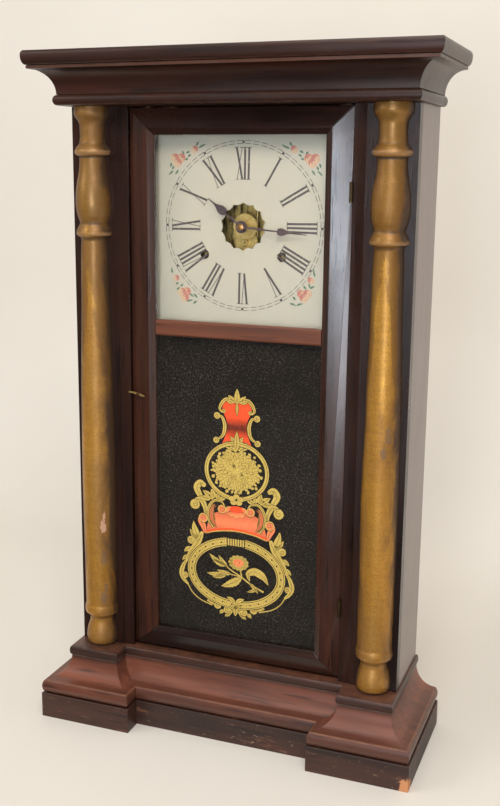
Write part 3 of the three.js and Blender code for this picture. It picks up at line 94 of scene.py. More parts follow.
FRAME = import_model()
NODES = FRAME["nodes"]
CAD_BOX = [list(corner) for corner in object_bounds()]
MM = 0.001
GOLDEN_ANGLE = 2.39996
# Triangles of a CAD node join where their corners lie this near and their faces bend by this little
MERGE_REACH, FLAT_BEND = 0.004 * MM, math.radians(1)
# Bends in degrees from which boards show a crease and have their corners eased
BOARD_CREASE = 30
# How soon a point off its chord counts as fully worn or dusty
BEND_GAIN = 2.4

# Middle of the dial and the faces that paint lies on, in metres, read from the frame
DIAL_LOW, DIAL_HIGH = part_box("dial")
DIAL_CENTRE = (DIAL_LOW + DIAL_HIGH) / 2
TABLET_LOW, TABLET_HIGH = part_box("tablet_glass")
CASE_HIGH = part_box("case_side_right")[1]
# Depths in millimetres count from a plane just behind the faces of the front stiles
STILE_PROUD = 1.2
STILE_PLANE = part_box("front_stile_right")[0].y / MM + STILE_PROUD


# Surfaces worked out with numpy


def grid_faces(rows, columns, closed=True):
    """Quads of a grid whose point (i, j) is number i * columns + j; closed joins last column to first."""
    last = columns if closed else columns - 1
    i, j = np.meshgrid(np.arange(rows - 1), np.arange(last), indexing="ij")
    k = (j + 1) % columns
    quads = [i * columns + j, i * columns + k, (i + 1) * columns + k, (i + 1) * columns + j]
    return np.stack(quads, -1).reshape(-1, 4)


def capped_faces(rows, sides):
    """Faces of a row of rings, with a flat cap on the first and the last ring."""
    caps = [list(range(sides)), list(range((rows - 1) * sides, rows * sides))]
    return grid_faces(rows, sides).tolist() + caps


def placed(name, data):
    """A new object of some data, linked to the scene."""
    thing = bpy.data.objects.new(name, data)
    bpy.context.scene.collection.objects.link(thing)
    return thing


def riding(name, mesh, body, slot, sharp):
    """A smooth piece of the clock, creased where it bends by more than sharp degrees."""
    mesh.shade_smooth()
    mesh.set_sharp_from_angle(angle=math.radians(sharp))
    piece = placed(name, mesh)
    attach(piece, body)
    return piece


def new_piece(name, points, faces, body, slot, materials, slots_of_faces=None, marks=None, sharp=35):
    """Makes a mesh piece, its normals pointing out and its marks stored as point attributes."""
    mesh = bpy.data.meshes.new(name)
    mesh.from_pydata(np.asarray(points, float).tolist(), [], faces)
    for mark, values in (marks or {}).items():
        values = np.asarray(values, np.float32).ravel()
        mesh.attributes.new(mark, "FLOAT", "POINT").data.foreach_set("value", values)
    for material in materials:
        mesh.materials.append(material)
    if slots_of_faces is not None:
        mesh.polygons.foreach_set("material_index", np.asarray(slots_of_faces, np.int32))
    work = bmesh.new()
    work.from_mesh(mesh)
    bmesh.ops.recalc_face_normals(work, faces=work.faces)
    work.to_mesh(mesh)
    work.free()
    return riding(name, mesh, body, slot, sharp)


def eased(piece, width, angle):
    """Rounds the corners of a piece by width, in metres, with a live Bevel modifier."""
    bevel = piece.modifiers.new("eased_corners", "BEVEL")
    bevel.width = width
    bevel.segments = 2
    bevel.limit_method = "ANGLE"
    bevel.angle_limit = math.radians(angle)
    bevel.harden_normals = True
    bevel.use_clamp_overlap = True


def worked_node(node, material, slot, width):
    """Stands for a CAD node with the same shape: its triangles joined into faces, its corners eased."""
    work = bmesh.new()
    work.from_mesh(NODES[node].data)
    bmesh.ops.remove_doubles(work, verts=work.verts, dist=MERGE_REACH)
    bmesh.ops.dissolve_limit(work, angle_limit=FLAT_BEND, verts=work.verts, edges=work.edges)
    mesh = bpy.data.meshes.new(node + "_mesh")
    work.to_mesh(mesh)
    work.free()
    mesh.materials.clear()
    mesh.materials.append(material)
    piece = riding(node + "_worked", mesh, NODES[node]["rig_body"], slot, BOARD_CREASE)
    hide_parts(node)
    eased(piece, width, BOARD_CREASE)


def smooth_curve(stations, count):
    """Monotone cubic through (position, value) stations: slopes are limited so that it never overshoots."""
    s, v = np.array(stations, float).T
    step = np.diff(s)
    rise = np.diff(v) / step
    slope = np.zeros_like(v)
    same = rise[:-1] * rise[1:] > 0
    weights = (step[1:] * 2 + step[:-1], step[1:] + step[:-1] * 2)
    bends = weights[0] / np.where(same, rise[:-1], 1) + weights[1] / np.where(same, rise[1:], 1)
    slope[1:-1] = np.where(same, sum(weights) / bends, 0)
    slope[0], slope[-1] = rise[0], rise[-1]
    at = np.unique(np.concatenate([np.linspace(s[0], s[-1], count), s]))
    k = np.clip(np.searchsorted(s, at, side="right") - 1, 0, len(step) - 1)
    t = (at - s[k]) / step[k]
    value = (
        v[k] * (2 * t**3 - 3 * t**2 + 1)
        + slope[k] * step[k] * (t**3 - 2 * t**2 + t)
        + v[k + 1] * (3 * t**2 - 2 * t**3)
        + slope[k + 1] * step[k] * (t**3 - t**2)
    )
    return at, value


def distance_gone(points):
    """Distance travelled along a line of points, from 0 at its first."""
    return np.concatenate([[0], np.cumsum(np.linalg.norm(np.diff(points, axis=0), axis=1))])


def resampled(points, gone, at):
    """The points of a line at other distances travelled."""
    return np.stack([np.interp(at, gone, column) for column in points.T], -1)


def bend_marks(across, along, reach):
    """Wear on the proud bends of a profile and dust in its hollows, by how far each stands off its chord."""
    points = np.stack([across, along], -1)
    gone = distance_gone(points)
    before = resampled(points, gone, gone - reach)
    chord = resampled(points, gone, gone + reach) - before
    length = np.maximum(np.linalg.norm(chord, axis=1), 1e-9)
    off = ((points - before)[:, 0] * chord[:, 1] - (points - before)[:, 1] * chord[:, 0]) / length
    share = off / reach
    return np.clip(share * BEND_GAIN, 0, 1), np.clip(-share * BEND_GAIN, 0, 1)


# Flat ornament: closed slabs that follow a line, with their half-width given along it


def round_points(centre, across, up, angle):
    """Points (x, z) of an ellipse round a centre at some angles."""
    return np.stack([centre[0] + across * np.cos(angle), centre[1] + up * np.sin(angle)], -1)


def bezier(*corners, count):
    """Bezier curve that its corners pull: neighbours are mixed by the share gone until one row is left."""
    t = np.linspace(0, 1, count)[:, None]
    rows = [np.array(corner, float)[None, :] for corner in corners]
    while len(rows) > 1:
        rows = [a + (b - a) * t for a, b in zip(rows[:-1], rows[1:])]
    return rows[0]


def bowed(foot, tip, bow, count):
    """A curve from foot to tip whose middle corner stands off to one side by a share of its length."""
    foot, tip = np.array(foot, float), np.array(tip, float)
    side = np.array([foot[1] - tip[1], tip[0] - foot[0]]) * bow
    return bezier(foot, (foot + tip) / 2 + side, tip, count=count)


def leaf_width(count, width, fullest=0.42):
    """Half-width of a leaf along its length: nothing at both ends and full at the fullest share."""
    t = np.linspace(0, 1, count)
    left = np.sin(0.5 * math.pi * np.clip(t / fullest, 0, 1)) ** 0.8
    right = np.cos(0.5 * math.pi * np.clip((t - fullest) / (1 - fullest), 0, 1)) ** 0.9
    return np.maximum(width * left * right, 0.02)


def through(*points, count=26):
    """A smooth line through points: each coordinate is a monotone cubic of the distance gone."""
    points = np.array(points, float)
    gone = distance_gone(points)
    return np.stack([smooth_curve(np.stack([gone, column], -1), count)[1] for column in points.T], -1)


def disc(centre, across, up=None, count=15):
    """A filled ellipse: a level line and the half chord at each of its points."""
    t = -np.cos(np.linspace(0.1, math.pi - 0.1, count))
    line = np.array(centre, float) + np.stack([across * t, 0 * t], -1)
    return line, (up or across) * np.sqrt(1 - t**2)


class Slabs:
    """Gathers thin closed slabs into one mesh: each has a layer in depth, a material and a tint."""

    def __init__(self, front, thick, layer_gap, middle=(0.0, 0.0)):
        self.front, self.thick, self.layer_gap = front, thick, layer_gap
        self.middle = np.array(middle)
        self.points, self.faces, self.slots, self.tints = [], [], [], []
        self.total = 0

    def add(self, line, half, slot=0, layer=0, tint=(0.0, 0.0), closed=False, both=False):
        """A slab along line, a row of (x, z) in millimetres, with its half-width at each point.

        A closed line ends where it starts and has no seam; both adds the mirror image of the slab as well.
        """
        given = np.asarray(line, float)
        line = (given[:-1] if closed else given) + self.middle
        count = len(line)
        width = np.broadcast_to(np.asarray(half, float), count)[:, None]
        way = np.roll(line, -1, 0) - np.roll(line, 1, 0) if closed else np.gradient(line, axis=0)
        way /= np.maximum(np.linalg.norm(way, axis=1), 1e-9)[:, None]
        side = np.stack([-way[:, 1], way[:, 0]], -1)
        left, right = line + side * width, line - side * width
        near = np.full((count, 1), self.front - layer * self.layer_gap)
        far = near + self.thick
        corners = [(left, near), (right, near), (right, far), (left, far)]
        block = np.stack([np.concatenate([p[:, :1], d, p[:, 1:]], 1) for p, d in corners], 1).reshape(-1, 3)
        faces = (grid_faces(count + 1, 4) % (count * 4)).tolist() if closed else capped_faces(count, 4)
        self.points.append(block)
        self.faces += [[corner + self.total for corner in face] for face in faces]
        self.slots += [slot] * len(faces)
        self.tints.append(np.repeat(tint if len(tint) == count else np.linspace(*tint, count), 4))
        self.total += len(block)
        if both:
            self.add(given * [-1, 1], half, slot, layer, tint, closed)

    def piece(self, name, body, slot, materials):
        """One mesh piece of all the slabs."""
        points = np.concatenate(self.points) * MM
        marks = {"tint": np.concatenate(self.tints)}
        new_piece(name, points, self.faces, body, slot, materials, self.slots, marks, sharp=50)


# Materials


class Wire:
    """An output of a node; sums, products and ramps of wires make the nodes that work them out."""

    def __init__(self, graph, socket):
        self.graph, self.socket = graph, socket

    def __add__(self, other):
        return self.graph.math("ADD", self, other)

    def __sub__(self, other):
        return self.graph.math("SUBTRACT", self, other)

    def __rsub__(self, other):
        return self.graph.math("SUBTRACT", other, self)

    def __mul__(self, other):
        return self.graph.math("MULTIPLY", self, other)

    def __truediv__(self, other):
        return self.graph.math("DIVIDE", self, other)

    __radd__, __rmul__ = __add__, __mul__

    def clamped(self):
        """Keeps the last sum or product between 0 and 1."""
        self.socket.node.use_clamp = True
        return self

    def ramp(self, *stops):
        """Grey or coloured ramp of (position, grey or colour) stops."""
        wire = self.graph.node("ShaderNodeValToRGB", {0: self})
        elements = wire.socket.node.color_ramp.elements
        while len(elements) < len(stops):
            elements.new(0.5)
        for element, (position, colour) in zip(elements, stops):
            element.position = position
            element.color = (*([colour] * 3 if isinstance(colour, (int, float)) else colour), 1)
        return wire


class Graph:
    """Short words for building one material or node group; its spot is the vector that textures read."""

    def __init__(self, tree):
        self.tree = tree

    def node(self, kind, inputs=None, out=0, **settings):
        """Adds a node with its settings, feeds its inputs and returns one of its outputs."""
        node = self.tree.nodes.new(kind)
        for name, value in settings.items():
            setattr(node, name, value)
        for name, value in (inputs or {}).items():
            self.feed(node.inputs[name], value)
        return Wire(self, node.outputs[out])

    def feed(self, socket, value):
        """Links a wire to a socket, or sets the socket itself to a constant."""
        if isinstance(value, Wire):
            self.tree.links.new(value.socket, socket)
        elif isinstance(value, tuple) and socket.type == "RGBA":
            socket.default_value = (*value, 1)
        else:
            socket.default_value = value

    def math(self, operation, *values):
        return self.node("ShaderNodeMath", dict(enumerate(values)), operation=operation)

    def largest(self, first, second):
        return self.math("MAXIMUM", first, second)

    def vector(self, operation, first, second, out=0):
        return self.node("ShaderNodeVectorMath", {0: first, 1: second}, out, operation=operation)

    def mix(self, share, first, second):
        return self.node("ShaderNodeMix", {0: share, 6: first, 7: second}, 2, data_type="RGBA")

    def cover(self, colour, *coats):
        """Lays (share, colour) coats over a first colour, one after the other."""
        for share, coat in coats:
            colour = self.mix(share, colour, coat)
        return colour

    def place(self, vector, scale=(1, 1, 1), turn=(0, 0, 0)):
        return self.node("ShaderNodeMapping", {"Vector": vector, "Scale": scale, "Rotation": turn})

    def noise(self, scale, detail=4.0, rough=0.55, distort=0.0, stretch=None, at=None):
        """Noise at the spot or at another vector, which a stretch scales along its axes."""
        at = at or self.spot
        if stretch:
            at = self.place(at, stretch)
        inputs = {"Vector": at, "Scale": scale, "Detail": detail, "Roughness": rough, "Distortion": distort}
        return self.node("ShaderNodeTexNoise", inputs, "Fac")

    def mark(self, name):
        return self.node("ShaderNodeAttribute", out="Fac", attribute_name=name)


class Paint(Graph):
    """A new material with its Principled shader; its spot is the Object coordinates."""

    def __init__(self, name):
        self.material = bpy.data.materials.new(name)
        self.material.use_nodes = True
        super().__init__(self.material.node_tree)
        self.shader = self.tree.nodes["Principled BSDF"]
        self.spot = self.node("ShaderNodeTexCoord", out="Object")

    def group(self, name, **inputs):
        """The outputs of a shared node group, read at the spot unless a Vector is given."""
        inputs = {"Vector": self.spot, **inputs}
        first = self.node("ShaderNodeGroup", node_tree=shared_group(name))
        node = first.socket.node
        for label, value in inputs.items():
            self.feed(node.inputs[label.replace("_", " ")], value)
        return [Wire(self, socket) for socket in node.outputs]

    def aged(self):
        """Worn, dusty, hazy and peeling shares, from the wear and dust marks of the piece."""
        return self.group("aged_surface", Wear=self.mark("wear"), Dust=self.mark("dust"))

    def finish(self, colour, rough, bump=None, **others):
        """Feeds colour and roughness, a bump (height, strength, millimetres), and other sockets by name."""
        sockets = {"Base_Color": colour, "Roughness": rough, **others}
        if bump:
            height, strength, distance = bump
            inputs = {"Height": height, "Strength": strength, "Distance": distance * MM}
            sockets["Normal"] = self.node("ShaderNodeBump", inputs)
        for name, value in sockets.items():
            self.feed(self.shader.inputs[name.replace("_", " ")], value)

    def let_through(self, share, colour=(1, 1, 1)):
        """Lets that share of the rays pass straight through the surface, as through thin coloured glass."""
        clear = self.node("ShaderNodeBsdfTransparent", {"Color": colour})
        surface = Wire(self, self.shader.outputs[0])
        seen = self.node("ShaderNodeMixShader", {0: share, 1: surface, 2: clear})
        self.feed(self.tree.nodes["Material Output"].inputs["Surface"], seen)


def wood_grain(graph, figure_scale, pore_scale):
    """Figure and pores that run along X: long noise for figure, short thresholded noise for pores."""
    figure = graph.noise(figure_scale, 5, 0.6, 0.9, stretch=(0.16, 1, 1))
    fine = graph.noise(figure_scale * 9.0, 3, stretch=(0.05, 1, 1))
    short = graph.noise(pore_scale, 2, 0.5, stretch=(0.07, 1, 1))
    return (figure * 0.65 + fine * 0.35).ramp((0.36, 0), (0.64, 1)), short.ramp((0.60, 0), (0.70, 1))


def aged_surface(graph, wear, dust):
    """Wear and dust marks broken up with noise, a haze, and the shallow orange peel of old varnish."""
    worn = (wear * (graph.noise(90.0, 6, 0.7) + 0.25)).ramp((0.34, 0), (0.62, 1))
    dusty = (dust * (graph.noise(140.0, 5) + 0.3)).ramp((0.28, 0), (0.7, 1))
    haze_and_sheen = graph.noise(9.0, 4, 0.6, 0.4).ramp((0.35, 0), (0.7, 1))
    return worn, dusty, haze_and_sheen, graph.noise(900.0, 2) + graph.noise(190.0, 2) * 0.5


def tarnish(graph, scale, amount):
    """Blotches and fine speckle of aged metal or metal paint."""
    blotch = (graph.noise(scale, 6, 0.65, 0.5) + (amount - 0.5) * 0.4).ramp((0.42, 0), (0.68, 1))
    return blotch, graph.noise(scale * 14.0, 2)


# Shared node groups: what works them out, their float inputs and their outputs
GROUPS = {
    "wood_grain": (wood_grain, {"Figure Scale": 14.0, "Pore Scale": 260.0}, ("Figure", "Pores")),
    "aged_surface": (aged_surface, {"Wear": 0.0, "Dust": 0.0}, ("Worn", "Dusty", "Haze", "Peel")),
    "tarnish": (tarnish, {"Scale": 60.0, "Amount": 0.5}, ("Blotch", "Speckle")),
}


def shared_group(name):
    """The node group of that name, made once: a vector and floats go in, floats come out."""
    tree = bpy.data.node_groups.get(name)
    if tree is None:
        work_out, inputs, outputs = GROUPS[name]
        tree = bpy.data.node_groups.new(name, "ShaderNodeTree")
        tree.interface.new_socket("Vector", in_out="INPUT", socket_type="NodeSocketVector")
        for label, value in inputs.items():
            socket = tree.interface.new_socket(label, in_out="INPUT", socket_type="NodeSocketFloat")
            socket.default_value = value
        for label in outputs:
            tree.interface.new_socket(label, in_out="OUTPUT", socket_type="NodeSocketFloat")
        graph = Graph(tree)
        start, end = tree.nodes.new("NodeGroupInput"), tree.nodes.new("NodeGroupOutput")
        graph.spot = Wire(graph, start.outputs["Vector"])
        given = [Wire(graph, start.outputs[label]) for label in inputs]
        for label, wire in zip(outputs, work_out(graph, *given)):
            graph.feed(end.inputs[label], wire)
    return tree


def tinted(colour, *shares):
    """A colour with each of its channels scaled; one share serves all three."""
    return tuple(c * share for c, share in zip(colour, shares * (3 // len(shares))))


WORN_WOOD = (0.20, 0.075, 0.035)
# Painted reflection: a pale sheen laid into the base colour, as of a bright wall seen at a grazing angle
PAINTED_SHEEN = (0.47, 0.38, 0.36)
DUST = (0.17, 0.15, 0.12)
OLD_GLASS = (0.975, 0.985, 0.975)
GRAIN_TURNS = {"across": (0, 0, 0), "upright": (0, math.pi / 2, 0)}


def varnished_wood(name, grain, dark, light, gloss=0.3, haze_and_sheen=0.0, peel=0.35, wear=0.75, coat=0.0):
    """Old varnished mahogany: worn bends, dusty hollows, painted light on chosen faces and a painted pale
    sheen, its grain along one axis.
    """
    paint = Paint(name)
    turned = paint.place(paint.spot, turn=GRAIN_TURNS[grain])
    figure, pores = paint.group("wood_grain", Vector=turned)
    worn, dusty, cloud, skin = paint.aged()
    coats = [
        # Painted light: where this mark is set, the figure is painted much lighter, as on the upward-facing
        # base cove
        (paint.mark("painted_light"), paint.mix(figure, tinted(light, 1.3), tinted(light, 3.6))),
        (pores * 0.55, tinted(dark, 0.3)),
        (worn * wear, WORN_WOOD),
    ]
    # Painted reflection: streaks of pale sheen in the base colour, strongest on the case sides
    if haze_and_sheen:
        streaks = paint.noise(330.0, 4, 0.6, stretch=(0.04, 1, 1), at=turned)
        coats.append(((streaks * 0.9 + cloud * 0.25 + 0.5) * haze_and_sheen, PAINTED_SHEEN))
    colour = paint.cover(paint.mix(figure, dark, light), *coats, (dusty * 0.5, DUST))
    rough = (gloss + cloud * 0.12 + dusty * 0.35).clamped()
    bump = (skin * peel - pores * 0.6, 0.5, 0.12)
    paint.finish(colour, rough, bump, Coat_Weight=coat, Coat_Roughness=0.4)


def plinth_wood(dark, glow):
    """Rubbed mahogany of the plinth: duller, with scuffs, pale nicks here and there and one chipped corner.
    """
    paint = Paint("plinth_wood")
    figure, pores = paint.group("wood_grain")
    dusty, cloud = paint.aged()[1:3]
    scuffs = paint.noise(120.0, 6, 0.7, stretch=(0.3, 1, 1.4))
    nicks = paint.noise(420.0, 3, 0.6, stretch=(0.5, 1, 1))
    corner = Vector((CAD_BOX[1][0], CAD_BOX[0][1], 2 * MM))
    ragged = paint.vector("DISTANCE", paint.spot, corner, "Value") + paint.noise(170.0, 5) * (-14 * MM)
    chip = (ragged / (10 * MM)).ramp((0.25, 1), (0.42, 0))
    colour = paint.cover(
        paint.mix(figure, tinted(dark, 0.8), glow),
        (pores * 0.5, tinted(dark, 0.3)),
        (scuffs.ramp((0.60, 0), (0.68, 1)) * 0.5, (0.24, 0.10, 0.05)),
        (nicks.ramp((0.66, 0), (0.70, 1)) * cloud * 0.6, (0.5, 0.36, 0.22)),
        (chip, (0.55, 0.24, 0.10)),
        (dusty * 0.4, DUST),
    )
    rough = (0.42 + cloud * 0.15 + chip * 0.3).clamped()
    paint.finish(colour, rough, (scuffs * 0.5 - (pores + chip), 0.5, 0.2))


def bare_pine(tint):
    """Unvarnished pine of the inside, its grain upright."""
    paint = Paint("bare_pine")
    upright = paint.place(paint.spot, turn=GRAIN_TURNS["upright"])
    figure, pores = paint.group("wood_grain", Vector=upright, Figure_Scale=9.0)
    colour = paint.cover(paint.mix(figure, tinted(tint, 0.6), tint), (pores * 0.3, tinted(tint, 0.4)))
    paint.finish(colour, 0.78, (figure - pores, 0.4, 0.15))


# Places, in metres, and reaches of the chips and dark stains in the column paint
COLUMN_CHIPS = [((-0.1296, -0.0326, 0.1945), 0.0034), ((-0.1290, -0.0322, 0.2050), 0.0018)]
COLUMN_STAINS = [
    ((-0.1296, -0.0326, 0.1620), 0.0040), ((-0.1300, -0.0330, 0.1210), 0.0040),
    ((-0.1280, -0.0318, 0.1310), 0.0026), ((0.1480, -0.0340, 0.3120), 0.0040),
    ((0.1440, -0.0350, 0.2960), 0.0030),
]


def ragged_spots(paint, share, spots, stretch):
    """Adds ragged patches to a share: in each, a distance, shortened upwards, that noise breaks up."""
    for place, reach in spots:
        away = paint.place(paint.vector("SUBTRACT", paint.spot, Vector(place)), (1, 1, stretch))
        length = paint.node("ShaderNodeVectorMath", {0: away}, "Value", operation="LENGTH")
        torn = (paint.noise(260.0, 4, 0.6) - 0.5) * (reach * 1.6)
        share = paint.largest(share, ((length + torn) / (reach * 2)).ramp((0.40, 1), (0.47, 0)))
    return share


def column_gilt(tint):
    """Bronze paint on turned wood: brushed round, brown up high, dark in hollows, painted shade by the
    boards.
    """
    paint = Paint("column_gilt")
    tall = paint.place(paint.spot, (1, 1, 0.3))
    blotch = paint.group("tarnish", Vector=tall, Scale=36.0, Amount=0.6)[0]
    worn, dusty = paint.aged()[:2]
    turned = paint.noise(420.0, 3, 0.6, stretch=(0.1, 0.1, 1))
    fine = paint.noise(800.0, 3)
    # Painted shade: the paint darkens as the column's sides turn away towards its boards
    board_shade = paint.mark("board_shade")
    height = paint.node("ShaderNodeSeparateXYZ", {0: paint.spot}, "Z") / CASE_HIGH.z
    uneven = height + (blotch - 0.5) * 0.12
    high = (uneven + board_shade * 0.34).ramp((0.70, 0), (0.735, 0.8), (0.90, 1))
    # Painted shade: dark brown over the sides, and its cube near-black beside the boards, together with dust
    # in the hollows
    shade = (board_shade * (blotch + 0.8)).clamped()
    deep_shade_and_dirt = paint.largest(paint.math("POWER", shade, 3.0), dusty)
    chips = paint.noise(75.0, 7, 0.75, stretch=(1, 1, 0.5)).ramp((0.735, 0), (0.75, 1))
    chips = ragged_spots(paint, chips, COLUMN_CHIPS, 0.38)
    stains = ragged_spots(paint, chips, COLUMN_STAINS, 0.45)
    colour = paint.cover(
        paint.mix(turned, tinted(tint, 0.66), tinted(tint, 1.2)),
        # Darker and more orange towards the foot
        (uneven.ramp((0.10, 1), (0.55, 0)) * 0.6, tinted(tint, 0.66, 0.56, 0.34)),
        (high * 0.85, tinted(tint, 0.33, 0.32, 0.42)),
        (blotch * 0.6, tinted(tint, 0.40, 0.32, 0.2)),
        (paint.noise(17.0, 5, 0.6, at=tall).ramp((0.48, 0), (0.66, 1)) * 0.3, (0.26, 0.17, 0.085)),
        (fine.ramp((0.50, 0), (0.66, 1)) * 0.4, (0.10, 0.045, 0.012)),
        (shade * 0.72, tinted(tint, 0.30, 0.24, 0.2)),
        # Near-black: the deepest painted shade beside the boards, with dust and the stains
        (deep_shade_and_dirt * 0.93, (0.040, 0.018, 0.006)),
        (worn * 0.35, (0.60, 0.34, 0.15)),
        (stains * 0.6, (0.10, 0.055, 0.03)),
        (chips, (0.50, 0.27, 0.16)),
    )
    deep_shade_and_dirt = paint.largest(stains, deep_shade_and_dirt)
    rough = 0.34 + paint.largest(blotch, deep_shade_and_dirt) * 0.25
    look = {"Specular_IOR_Level": 0.5, "Coat_Weight": 0.3, "Coat_Roughness": 0.42}
    metal = (0.45 - deep_shade_and_dirt * 0.45).clamped()
    paint.finish(colour, rough, (turned * 0.7 + fine * 0.8 - chips, 0.6, 0.12), Metallic=metal, **look)


def aged_brass(name, tint, stained=0.0):
    """Old brass: bright where it is rubbed, brown where it has tarnished, with the lines of its rolling."""
    paint = Paint(name)
    blotch, speckle = paint.group("tarnish", Scale=85.0, Amount=0.6)
    oil = paint.noise(210.0, 5, 0.65, stretch=(1, 1, 0.3)).ramp((0.50, 0), (0.60, 1)) * stained
    colour = paint.cover(
        tint,
        (blotch * 0.8, tinted(tint, 0.34, 0.30, 0.24)),
        (speckle * 0.2, tinted(tint, 0.3, 0.25, 0.2)),
        (oil, tinted(tint, 0.10, 0.10, 0.16)),
    )
    lines = paint.noise(1500.0, 2, stretch=(1, 1, 0.02))
    paint.finish(colour, 0.28 + blotch * 0.3, (lines, 0.25, 0.03), Metallic=0.8)


def plain_steel(name, tint, rough):
    """Grey steel with rust-brown blotches."""
    paint = Paint(name)
    blotch, speckle = paint.group("tarnish", Scale=120.0, Amount=0.4)
    colour = paint.mix(blotch * 0.4, tint, (0.12, 0.06, 0.035))
    paint.finish(colour, rough + blotch * 0.2, (speckle, 0.2, 0.03), Metallic=0.8)


def cast_iron():
    """Sandy grey iron, rusty in blotches."""
    paint = Paint("grey_iron")
    blotch, speckle = paint.group("tarnish", Scale=45.0, Amount=0.5)
    colour = paint.mix(blotch, (0.045, 0.042, 0.04), (0.11, 0.05, 0.025))
    paint.finish(colour, 0.68, (speckle + paint.noise(380.0, 3, 0.7), 0.7, 0.35), Metallic=0.5)


def dial_paint(tint):
    """Old oil paint on zinc: creamy in the middle, greener towards the corners, crazed and specked."""
    paint = Paint("dial_ground")
    away = paint.vector("DISTANCE", paint.spot, Vector(DIAL_CENTRE), "Value")
    outer = ((away + paint.noise(22.0, 4) * (24 * MM)) / (130 * MM)).ramp((0.45, 0), (0.95, 1))
    colour = paint.cover(
        tint,
        (outer, tinted(tint, 0.93, 0.97, 1.0)),
        (paint.noise(46.0, 6, 0.7).ramp((0.5, 0), (0.75, 1)) * 0.25, (0.45, 0.36, 0.22)),
        (paint.noise(1100.0, 2).ramp((0.72, 0), (0.78, 1)) * 0.5, (0.2, 0.15, 0.1)),
    )
    inputs = {"Vector": paint.spot, "Scale": 260.0}
    cells = paint.node("ShaderNodeTexVoronoi", inputs, feature="DISTANCE_TO_EDGE")
    paint.finish(colour, 0.42, (cells.ramp((0.0, 0), (0.06, 1)), 0.15, 0.05))


def thin_paint(name, scale, detail, rough, worn, share, ink, ground, gloss):
    """Paint that has rubbed through to the ground here and there, between two levels of a noise."""
    paint = Paint(name)
    rubbed = paint.noise(scale, detail, rough).ramp((worn[0], 0), (worn[1], 1))
    paint.finish(paint.mix(rubbed * share, ink, ground), gloss)


def petal_paint():
    """Rose paint that runs from pale yellow at tint 0 to pink at tint 1."""
    paint = Paint("petal_paint")
    tint = paint.mark("tint") + (paint.noise(500.0, 3) - 0.5) * 0.5
    stops = [(0.0, (0.45, 0.325, 0.195)), (0.5, (0.41, 0.22, 0.145)), (1.0, (0.34, 0.10, 0.08))]
    paint.finish(tint.ramp(*stops), 0.45)


def window_glass():
    """Clear old glass, slightly wavy: lamps pass through it unbent, so that what is behind it is lit."""
    paint = Paint("window_glass")
    paint.finish(OLD_GLASS, 0.02, (paint.noise(16.0, 2), 0.2, 0.15), IOR=1.45, Transmission_Weight=1.0)
    paint.let_through(paint.node("ShaderNodeLightPath", out="Is Shadow Ray"), OLD_GLASS)


def tablet_black(tint):
    """Black ground painted behind the glass, brown where it is thin, with pale motes where it has lifted."""
    paint = Paint("tablet_black")
    thin = paint.noise(520.0, 4, 0.75).ramp((0.52, 0), (0.74, 1))
    patches = paint.noise(22.0, 5, 0.6).ramp((0.35, 0.12), (0.70, 0.8))
    motes = paint.noise(1100.0, 1).ramp((0.73, 0), (0.78, 1))
    colour = paint.cover(tint, (thin * patches, (0.17, 0.125, 0.085)), (motes * 0.6, (0.36, 0.33, 0.28)))
    paint.finish(colour, 0.6, Specular_IOR_Level=0.1)


def tablet_gilt(name, tint):
    """Gold size and bronze powder seen through the glass, with engraved-looking speckle."""
    paint = Paint(name)
    blotch, speckle = paint.group("tarnish", Scale=150.0, Amount=0.5)
    fine = speckle.ramp((0.50, 0), (0.64, 1)) * 0.45
    coats = [(blotch * 0.45, tinted(tint, 0.66, 0.6, 0.5)), (fine, tinted(tint, 0.36, 0.32, 0.25))]
    paint.finish(paint.cover(tint, *coats), 0.5, Specular_IOR_Level=0.1)


def tablet_red(name, bright, deep):
    """Red ground whose depth follows the tint mark from bright at 0 to deep at 1, a little uneven."""
    paint = Paint(name)
    depth = (paint.mark("tint") + (paint.noise(180.0, 4) - 0.5) * 0.5).clamped()
    paint.finish(paint.mix(depth, bright, deep), 0.5, Specular_IOR_Level=0.1)


def winding_cord():
    """Hempen cord, its fibres pale and dark."""
    paint = Paint("winding_cord")
    fibres = paint.noise(1800.0, 3)
    paint.finish(paint.mix(fibres, (0.22, 0.16, 0.09), (0.55, 0.45, 0.28)), 0.9, (fibres, 0.5, 0.1))


def finishes(context):
    """Every material of the clock, made once."""
    if bpy.data.materials.get("cornice_wood") is None:
        make_finishes(context.scene.clock_colours)
    return bpy.data.materials


